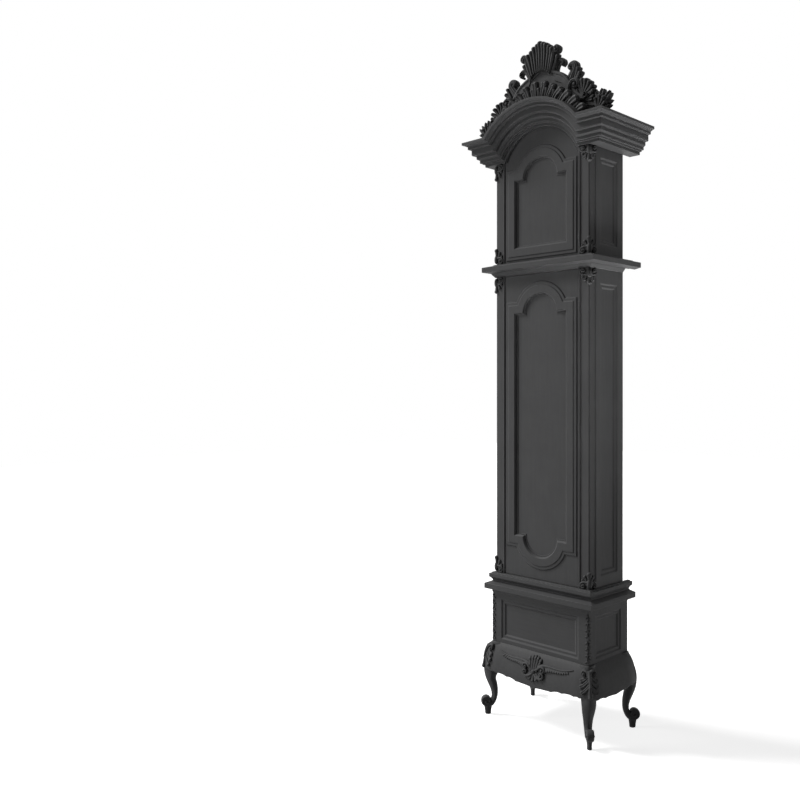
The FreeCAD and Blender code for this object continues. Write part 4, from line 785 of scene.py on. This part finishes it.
def leg_skins(carving, x_sign, y_sign):
    """Stem, scroll and pad of one leg, in the upright plane of its corner's diagonal."""
    corner_x = x_sign * PLINTH_HALF
    corner_y = PLINTH_BACK if y_sign > 0 else PLINTH_FRONT
    slant = math.sqrt(0.5)
    out = np.array([x_sign * slant, y_sign * slant])
    wide = np.array([-out[1], out[0]])

    def world(t, a, z):
        return [corner_x + out[0] * t + wide[0] * a, corner_y + out[1] * t + wide[1] * a, z]

    table = smooth_path([(o[0], o[1], i[0], i[1], b) for o, i, b in LEG_ROWS], 54)
    rows = []
    for ot, oz, it, iz, b in table:
        ring = []
        for k in range(32):
            a = 2 * math.pi * k / 32
            c, s = math.cos(a), math.sin(a)
            power = 2 / 1.15 if c > 0 else 2 / 1.8
            along = math.copysign(abs(c) ** power, c)
            across = math.copysign(abs(s) ** (power * 0.8), s) * b
            t = (ot + it) / 2 + (ot - it) / 2 * along
            z = (oz + iz) / 2 + (oz - iz) / 2 * along
            ring.append(world(t, across, z))
        rows.append(ring)
    carving.skin(rows)
    centre = (25.0, 53.5)
    turns = 1.3
    parts = 60
    rows = []
    for k in range(parts + 1):
        share = k / parts
        angle = math.radians(-105) + share * turns * 2 * math.pi
        radius = 18.5 * (1 - share) ** 0.75 + 2.5
        thick = 5.0 * (1 - share) + 3.0 * share
        b = np.interp(share, (0, 0.25, 0.6, 1), (12.5, 14.0, 16.0, 19.0))
        ring = []
        for j in range(20):
            a = 2 * math.pi * j / 20
            r = radius + thick * math.cos(a)
            across = b * math.copysign(abs(math.sin(a)) ** 0.7, math.sin(a))
            ring.append(world(centre[0] + r * math.cos(angle), across,
                              centre[1] + r * math.sin(angle)))
        rows.append(ring)
    carving.skin(rows)
    rows = []
    for across in (-11.0, 11.0):
        around = np.linspace(0, 2 * math.pi, 24, endpoint=False)
        rows.append([world(centre[0] + 16 * math.cos(a), across,
                           centre[1] + 16 * math.sin(a)) for a in around])
    carving.skin(rows)
    rows = []
    for z, inner, outer, b in ((36, 2, 37, 12.5), (30, 4, 35, 11), (22, 5.5, 33.5, 9.5),
                               (12, 7, 32, 8.8), (4, 7.5, 31.5, 9.2), (0, 8, 31, 9.0)):
        ring = []
        for k in range(24):
            a = 2 * math.pi * k / 24
            ring.append(world((inner + outer) / 2 + (outer - inner) / 2 * math.cos(a),
                              b * math.sin(a), z))
        rows.append(ring)
    carving.skin(rows)


def base_surface():
    """Aprons and legs, melted into one surface."""
    carving = Carving()
    apron_skin(carving)
    for x_sign in (-1, 1):
        for y_sign in (-1, 1):
            leg_skins(carving, x_sign, y_sign)
    voxel = 0.0018
    replaced = ["apron_front", "apron_sides_and_back", "front_left_leg", "front_right_leg",
                "rear_left_leg", "rear_right_leg"]
    carve("carved_base", carving, "case", replaced, voxel)


CORNER_AT = PLINTH_HALF + 20.0


def skirt_place(sign):
    """Places carving on the bombe face: u runs from the front's middle past the ridge."""
    def place(u, v, h):
        along = np.abs(u)
        out = swell(v)
        distance = np.abs(along - CORNER_AT)
        reach = out * held_back(distance)
        corner = PLINTH_HALF + out * CORNER_SHARE
        turn = np.clip((along - CORNER_AT) / 12.0, -1, 1) * math.pi / 4 + math.pi / 4
        past = np.maximum(along - CORNER_AT, 0)
        x = np.where(past > 0, PLINTH_HALF + reach, along / CORNER_AT * corner)
        y = np.where(past > 0, PLINTH_FRONT - out * CORNER_SHARE + past, PLINTH_FRONT - reach)
        x = x + h * np.sin(turn)
        y = y - h * np.cos(turn)
        return np.stack([sign * np.where(u < 0, -x, x), y, v + 0 * x], axis=-1)

    return place


def apron_carving():
    """Upright shell with curls and drops, and a long serrated leaf to each side."""
    carving = Carving(skirt_place(1))
    middle = PLINTH_LOW - 64.0
    for i, (x, up) in enumerate(((0, 56), (14, 54), (28, 48))):
        for side in (-1, 1) if i else (1,):
            carving.toward((side * i * 6.5, middle), (side * x, middle + up), 4.0, 6.8, 5,
                           9.0 - i * 0.5, LEAF_BACK, roll=2.0, flutes=1)
    for x, down in ((0, 38), (17, 33), (32, 22)):
        for side in (-1, 1) if x else (1,):
            carving.toward((side * x * 0.2, middle - 4), (side * x, middle - down), 3.5, 7.0, 4,
                           7.5, LEAF_BACK, roll=2.0, flutes=1)
    for side in (-1, 1):
        carving.volute([(side * 4, middle + 4), (side * 16, middle + 10), (side * 32, middle + 22),
                        (side * 46, middle + 20)], (side * 39, middle + 11), 10, 1.0, -side,
                       (4.0, 5.5), (6, 10.0), LEAF_BACK, flutes=0, eye=4.0)
        carving.volute([(side * 4, middle - 8), (side * 18, middle - 18), (side * 36, middle - 20),
                        (side * 46, middle - 10)], (side * 36, middle - 8), 10, 1.0, side,
                       (4.0, 5.5), (6, 10.0), LEAF_BACK, flutes=0, eye=4.0)
        spine = smooth_path([(side * 18, middle + 20), (side * 36, middle + 27),
                             (side * 66, middle + 30), (side * 100, middle + 29),
                             (side * 136, middle + 31), (side * 176, middle + 40)], 70)
        share = np.linspace(0, 1, 70)
        carving.strip(spine, 4.4 * (1 - share) ** 0.5 + 0.6, 6.5 - 2.5 * share, LEAF_BACK)
        for k in range(11):
            at = spine[5 + k * 5]
            size = 33 - 1.9 * k
            carving.petal((at[0], at[1]), -90 + side * (48 - k), size, 4.0, 8.2 - 0.35 * k, 3.0,
                          6.6 - 0.25 * k, LEAF_BACK, bend=side * 22, roll=1.2)
    carving.dome((0, middle), 8.0, 9.5, LEAF_BACK)
    carve("apron_shell_and_leaves", carving, "case", ["apron_carving"])


def knee_carvings():
    """Broad curled leaf over each front knee, with its lobes on both faces."""
    both = []
    for sign in (-1, 1):
        carving = Carving(skirt_place(sign))
        top = PLINTH_LOW - 20.0
        for drop, lean, size, half, proud in ((0, 50, 26, 8.0, 5.5), (6, 36, 44, 9.0, 7.0),
                                              (20, 30, 50, 9.0, 8.0), (38, 24, 48, 8.0, 8.5)):
            for side in (-1, 1):
                carving.petal((CORNER_AT + side * 2, top - drop), -90 + side * lean, size, 4.5,
                              half, 4.5, proud, KNEE_BACK, bend=side * 34, roll=3.5, flutes=1,
                              depth=1.8)
        carving.petal((CORNER_AT, top - 36), -90, 52, 4.0, 6.5, 7.5, 8.5, KNEE_BACK, roll=2.0,
                      flutes=1)
        carving.strip(smooth_path([(CORNER_AT, top + 6), (CORNER_AT, top - 20),
                                   (CORNER_AT, top - 46)], 24), np.linspace(7.0, 3.0, 24),
                      np.linspace(12.0, 9.0, 24), KNEE_BACK)
        for side in (-1, 1):
            carving.volute([(CORNER_AT + side * 2, top - 10), (CORNER_AT + side * 8, top + 4),
                            (CORNER_AT + side * 19, top + 6), (CORNER_AT + side * 26, top - 4)],
                           (CORNER_AT + side * 18, top - 5), 9, 1.0, -side, (3.5, 5.0), (8, 12),
                           KNEE_BACK, flutes=0, eye=4.0)
        both.append(carving)
    carve("knee_leaves", joined(both), "case", ["knee_carvings"])


def garlands():
    """Thin winding string of leaves and berries down the plinth's front corners."""
    both = []
    for sign in (-1, 1):
        carving = Carving(corner_place(PLINTH_HALF, PLINTH_FRONT, CORNER_RADIUS, sign))
        low, high = PLINTH_LOW + 2.0, PLINTH_HIGH - 8.0
        stem = [(3.2 * math.sin(k * 0.9), high + (low - high) * k / 22) for k in range(23)]
        carving.strip(smooth_path(stem, 110), np.full(110, 1.5), np.full(110, 3.4), GARLAND_BACK)
        for k in range(15):
            z = high - 6 - k * (high - low - 22) / 14
            side = 1 if k % 2 else -1
            carving.petal((side * 1.0, z), -90 + side * 38, 14.5, 1.6, 3.6, 2.6, 4.2, GARLAND_BACK,
                          bend=side * 24, roll=1.0)
            carving.petal((-side * 1.0, z - 3), -90 - side * 52, 9.5, 1.2, 2.6, 2.2, 3.4,
                          GARLAND_BACK, bend=-side * 20, roll=0.8)
            carving.dome((side * 3.0, z + 4), 2.1, 5.2, GARLAND_BACK, 10)
        both.append(carving)
    carve("plinth_garland_leaves", joined(both), "case", ["plinth_garlands"])


# Dial and weight lines


def dial_marks():
    """Roman hour numerals, minute marks and two thin circles, filled with black wax."""
    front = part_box("chapter_ring")[0][1] * 1000
    numeral_low, numeral_high = 103.0, 123.0
    minute_low, minute_high = 129.5, 134.5
    thick, thin = 1.3, 0.5

    def place(u, v, h):
        return np.stack([u, front - h, DIAL_Z + v], axis=-1)

    marks = Carving(place)

    def bar(angle, start, end, half):
        out = np.array([math.sin(angle), math.cos(angle)])
        right = np.array([out[1], -out[0]])
        a = right * start[0] + out * start[1]
        b = right * end[0] + out * end[1]
        line = (b - a) / np.linalg.norm(b - a)
        wide = np.array([line[1], -line[0]]) * half
        corners = np.array([a - wide, a + wide, b + wide, b - wide])
        marks.skin([place(corners[:, 0], corners[:, 1], np.full(4, h)) for h in (-0.4, 0.5)])

    numerals = ("I", "II", "III", "IIII", "V", "VI", "VII", "VIII", "IX", "X", "XI", "XII")
    strokes = {"I": ((0, 0, 1.3),), "V": ((-3.6, 0, 1.3), (3.6, 0, 0.6)),
               "X": ((-3.6, 3.6, 1.3), (3.6, -3.6, 0.6))}
    width = {"I": 5.0, "V": 10.5, "X": 10.5}
    for hour, text in enumerate(numerals, 1):
        angle = math.radians(30 * hour)
        at = -sum(width[c] for c in text) / 2
        for c in text:
            middle = at + width[c] / 2
            for high, low, half in strokes[c]:
                bar(angle, (middle + low, numeral_low), (middle + high, numeral_high), half)
            at += width[c]
    for minute in range(60):
        half = thin if minute % 5 else thick
        bar(math.radians(6 * minute), (0, minute_low), (0, minute_high), half)
    for radius in (129.0, 135.0):
        for k in range(120):
            a, b = math.radians(3 * k), math.radians(3 * k + 3.05)
            bar(0, (radius * math.sin(a), radius * math.cos(a)),
                (radius * math.sin(b), radius * math.cos(b)), 0.3)
    make_object("dial_numerals", marks, black_wax, "case", [])


def weight_line(kind, x):
    """Line of three twisted strands from its wheel down to the hook of its weight."""
    low, high = (corner[2] * 1000 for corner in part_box(kind + "_chain"))
    line = Carving()
    turns, strands = 26, 3
    steps = turns * 6
    off_axis, radius = 0.9, 0.95
    around = np.linspace(0, 2 * math.pi, 8, endpoint=False)
    for strand in range(strands):
        rows = []
        for k in range(steps + 1):
            share = k / steps
            twist = 2 * math.pi * (share * turns + strand / strands)
            cx, cy = x + off_axis * math.cos(twist), off_axis * math.sin(twist)
            z = low + (high - low) * share
            rows.append([(cx + radius * math.cos(a), cy + radius * math.sin(a), z) for a in around])
        line.skin(rows)
    obj = make_object(kind + "_line", line, grey_steel, None, [kind + "_chain"])
    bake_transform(obj)


crest_shell()
crest_scrolls()
arch_fringe()
corner_carvings()
base_surface()
apron_carving()
knee_carvings()
garlands()
dial_marks()
weight_line("time", -CHAIN_X)
weight_line("strike", CHAIN_X)


# Floor, backdrop and light


def eye_rays(tree):
    """1 for what the camera sees, straight or mirrored, and 0 for the light on the clock."""
    rays = tree.nodes.new("ShaderNodeLightPath")
    value = rays.outputs["Is Camera Ray"]
    for other in ("Is Glossy Ray", "Is Transmission Ray"):
        largest = tree.nodes.new("ShaderNodeMath")
        largest.operation = "MAXIMUM"
        tree.links.new(value, largest.inputs[0])
        tree.links.new(rays.outputs[other], largest.inputs[1])
        value = largest.outputs[0]
    return value


def plain_stage():
    size = 12.0
    mesh = bpy.data.meshes.new("floor")
    mesh.from_pydata([(-size, -size, 0), (size, -size, 0), (size, size, 0), (-size, size, 0)], [],
                     [(0, 1, 2, 3)])
    floor = bpy.data.objects.new("floor", mesh)
    bpy.context.scene.collection.objects.link(floor)
    material = bpy.data.materials.new("pale_floor")
    material.use_nodes = True
    tree = material.node_tree
    tree.nodes.clear()
    output = tree.nodes.new("ShaderNodeOutputMaterial")
    seen = tree.nodes.new("ShaderNodeBsdfDiffuse")
    seen.inputs["Color"].default_value = (0.82, 0.82, 0.82, 1)
    bounce = tree.nodes.new("ShaderNodeBsdfDiffuse")
    bounce.inputs["Color"].default_value = (0.2, 0.2, 0.2, 1)
    glow = tree.nodes.new("ShaderNodeEmission")
    place = tree.nodes.new("ShaderNodeTexCoord")
    away = tree.nodes.new("ShaderNodeVectorMath")
    away.operation = "LENGTH"
    fade = tree.nodes.new("ShaderNodeMapRange")
    fade.inputs["From Min"].default_value = 1.2
    fade.inputs["From Max"].default_value = 4.0
    fade.inputs["To Min"].default_value = 0.8
    fade.inputs["To Max"].default_value = 1.0
    tree.links.new(place.outputs["Object"], away.inputs[0])
    tree.links.new(away.outputs["Value"], fade.inputs["Value"])
    tree.links.new(fade.outputs["Result"], glow.inputs["Strength"])
    both = tree.nodes.new("ShaderNodeAddShader")
    choose = tree.nodes.new("ShaderNodeMixShader")
    tree.links.new(seen.outputs[0], both.inputs[0])
    tree.links.new(glow.outputs[0], both.inputs[1])
    tree.links.new(eye_rays(tree), choose.inputs["Fac"])
    tree.links.new(bounce.outputs[0], choose.inputs[1])
    tree.links.new(both.outputs[0], choose.inputs[2])
    tree.links.new(choose.outputs[0], output.inputs["Surface"])
    mesh.materials.append(material)


def plain_world():
    world = bpy.data.worlds.new("studio")
    bpy.context.scene.world = world
    world.use_nodes = True
    tree = world.node_tree
    tree.nodes.clear()
    output = tree.nodes.new("ShaderNodeOutputWorld")
    seen = tree.nodes.new("ShaderNodeBackground")
    seen.inputs["Color"].default_value = (1.0, 1.0, 1.0, 1)
    seen.inputs["Strength"].default_value = 1.0
    soft = tree.nodes.new("ShaderNodeBackground")
    soft.inputs["Color"].default_value = (1.0, 1.0, 1.0, 1)
    soft.inputs["Strength"].default_value = 0.05
    choose = tree.nodes.new("ShaderNodeMixShader")
    tree.links.new(eye_rays(tree), choose.inputs["Fac"])
    tree.links.new(soft.outputs[0], choose.inputs[1])
    tree.links.new(seen.outputs[0], choose.inputs[2])
    tree.links.new(choose.outputs[0], output.inputs["Surface"])


def lamp(name, place, target, size, power, spread=180):
    data = bpy.data.lights.new(name, "AREA")
    data.shape = "SQUARE"
    data.size = size
    data.energy = power
    data.spread = math.radians(spread)
    obj = bpy.data.objects.new(name, data)
    obj.location = place
    direction = np.array(target) - np.array(place)
    flat = math.hypot(direction[0], direction[1])
    obj.rotation_euler = (math.atan2(flat, -direction[2]), 0,
                          math.atan2(-direction[0], direction[1]))
    obj.visible_camera = False
    bpy.context.scene.collection.objects.link(obj)


plain_stage()
plain_world()
lamp("key", (-15.6, -8.0, 17.9), (0, 0, 1.3), 7.2, 6200)
lamp("front_left", (-3.6, -3.6, 1.2), (0, 0, 1.2), 1.6, 88)
lamp("floor_right", (1.8, 0.9, 0.03), (1.8, 0.91, 3.0), 1.0, 14)
lamp("low_right", (0.75, -0.2, 0.03), (0.3, -0.05, 2.2), 0.5, 4.8, 45)

scene = bpy.context.scene
scene.view_settings.view_transform = "Standard"
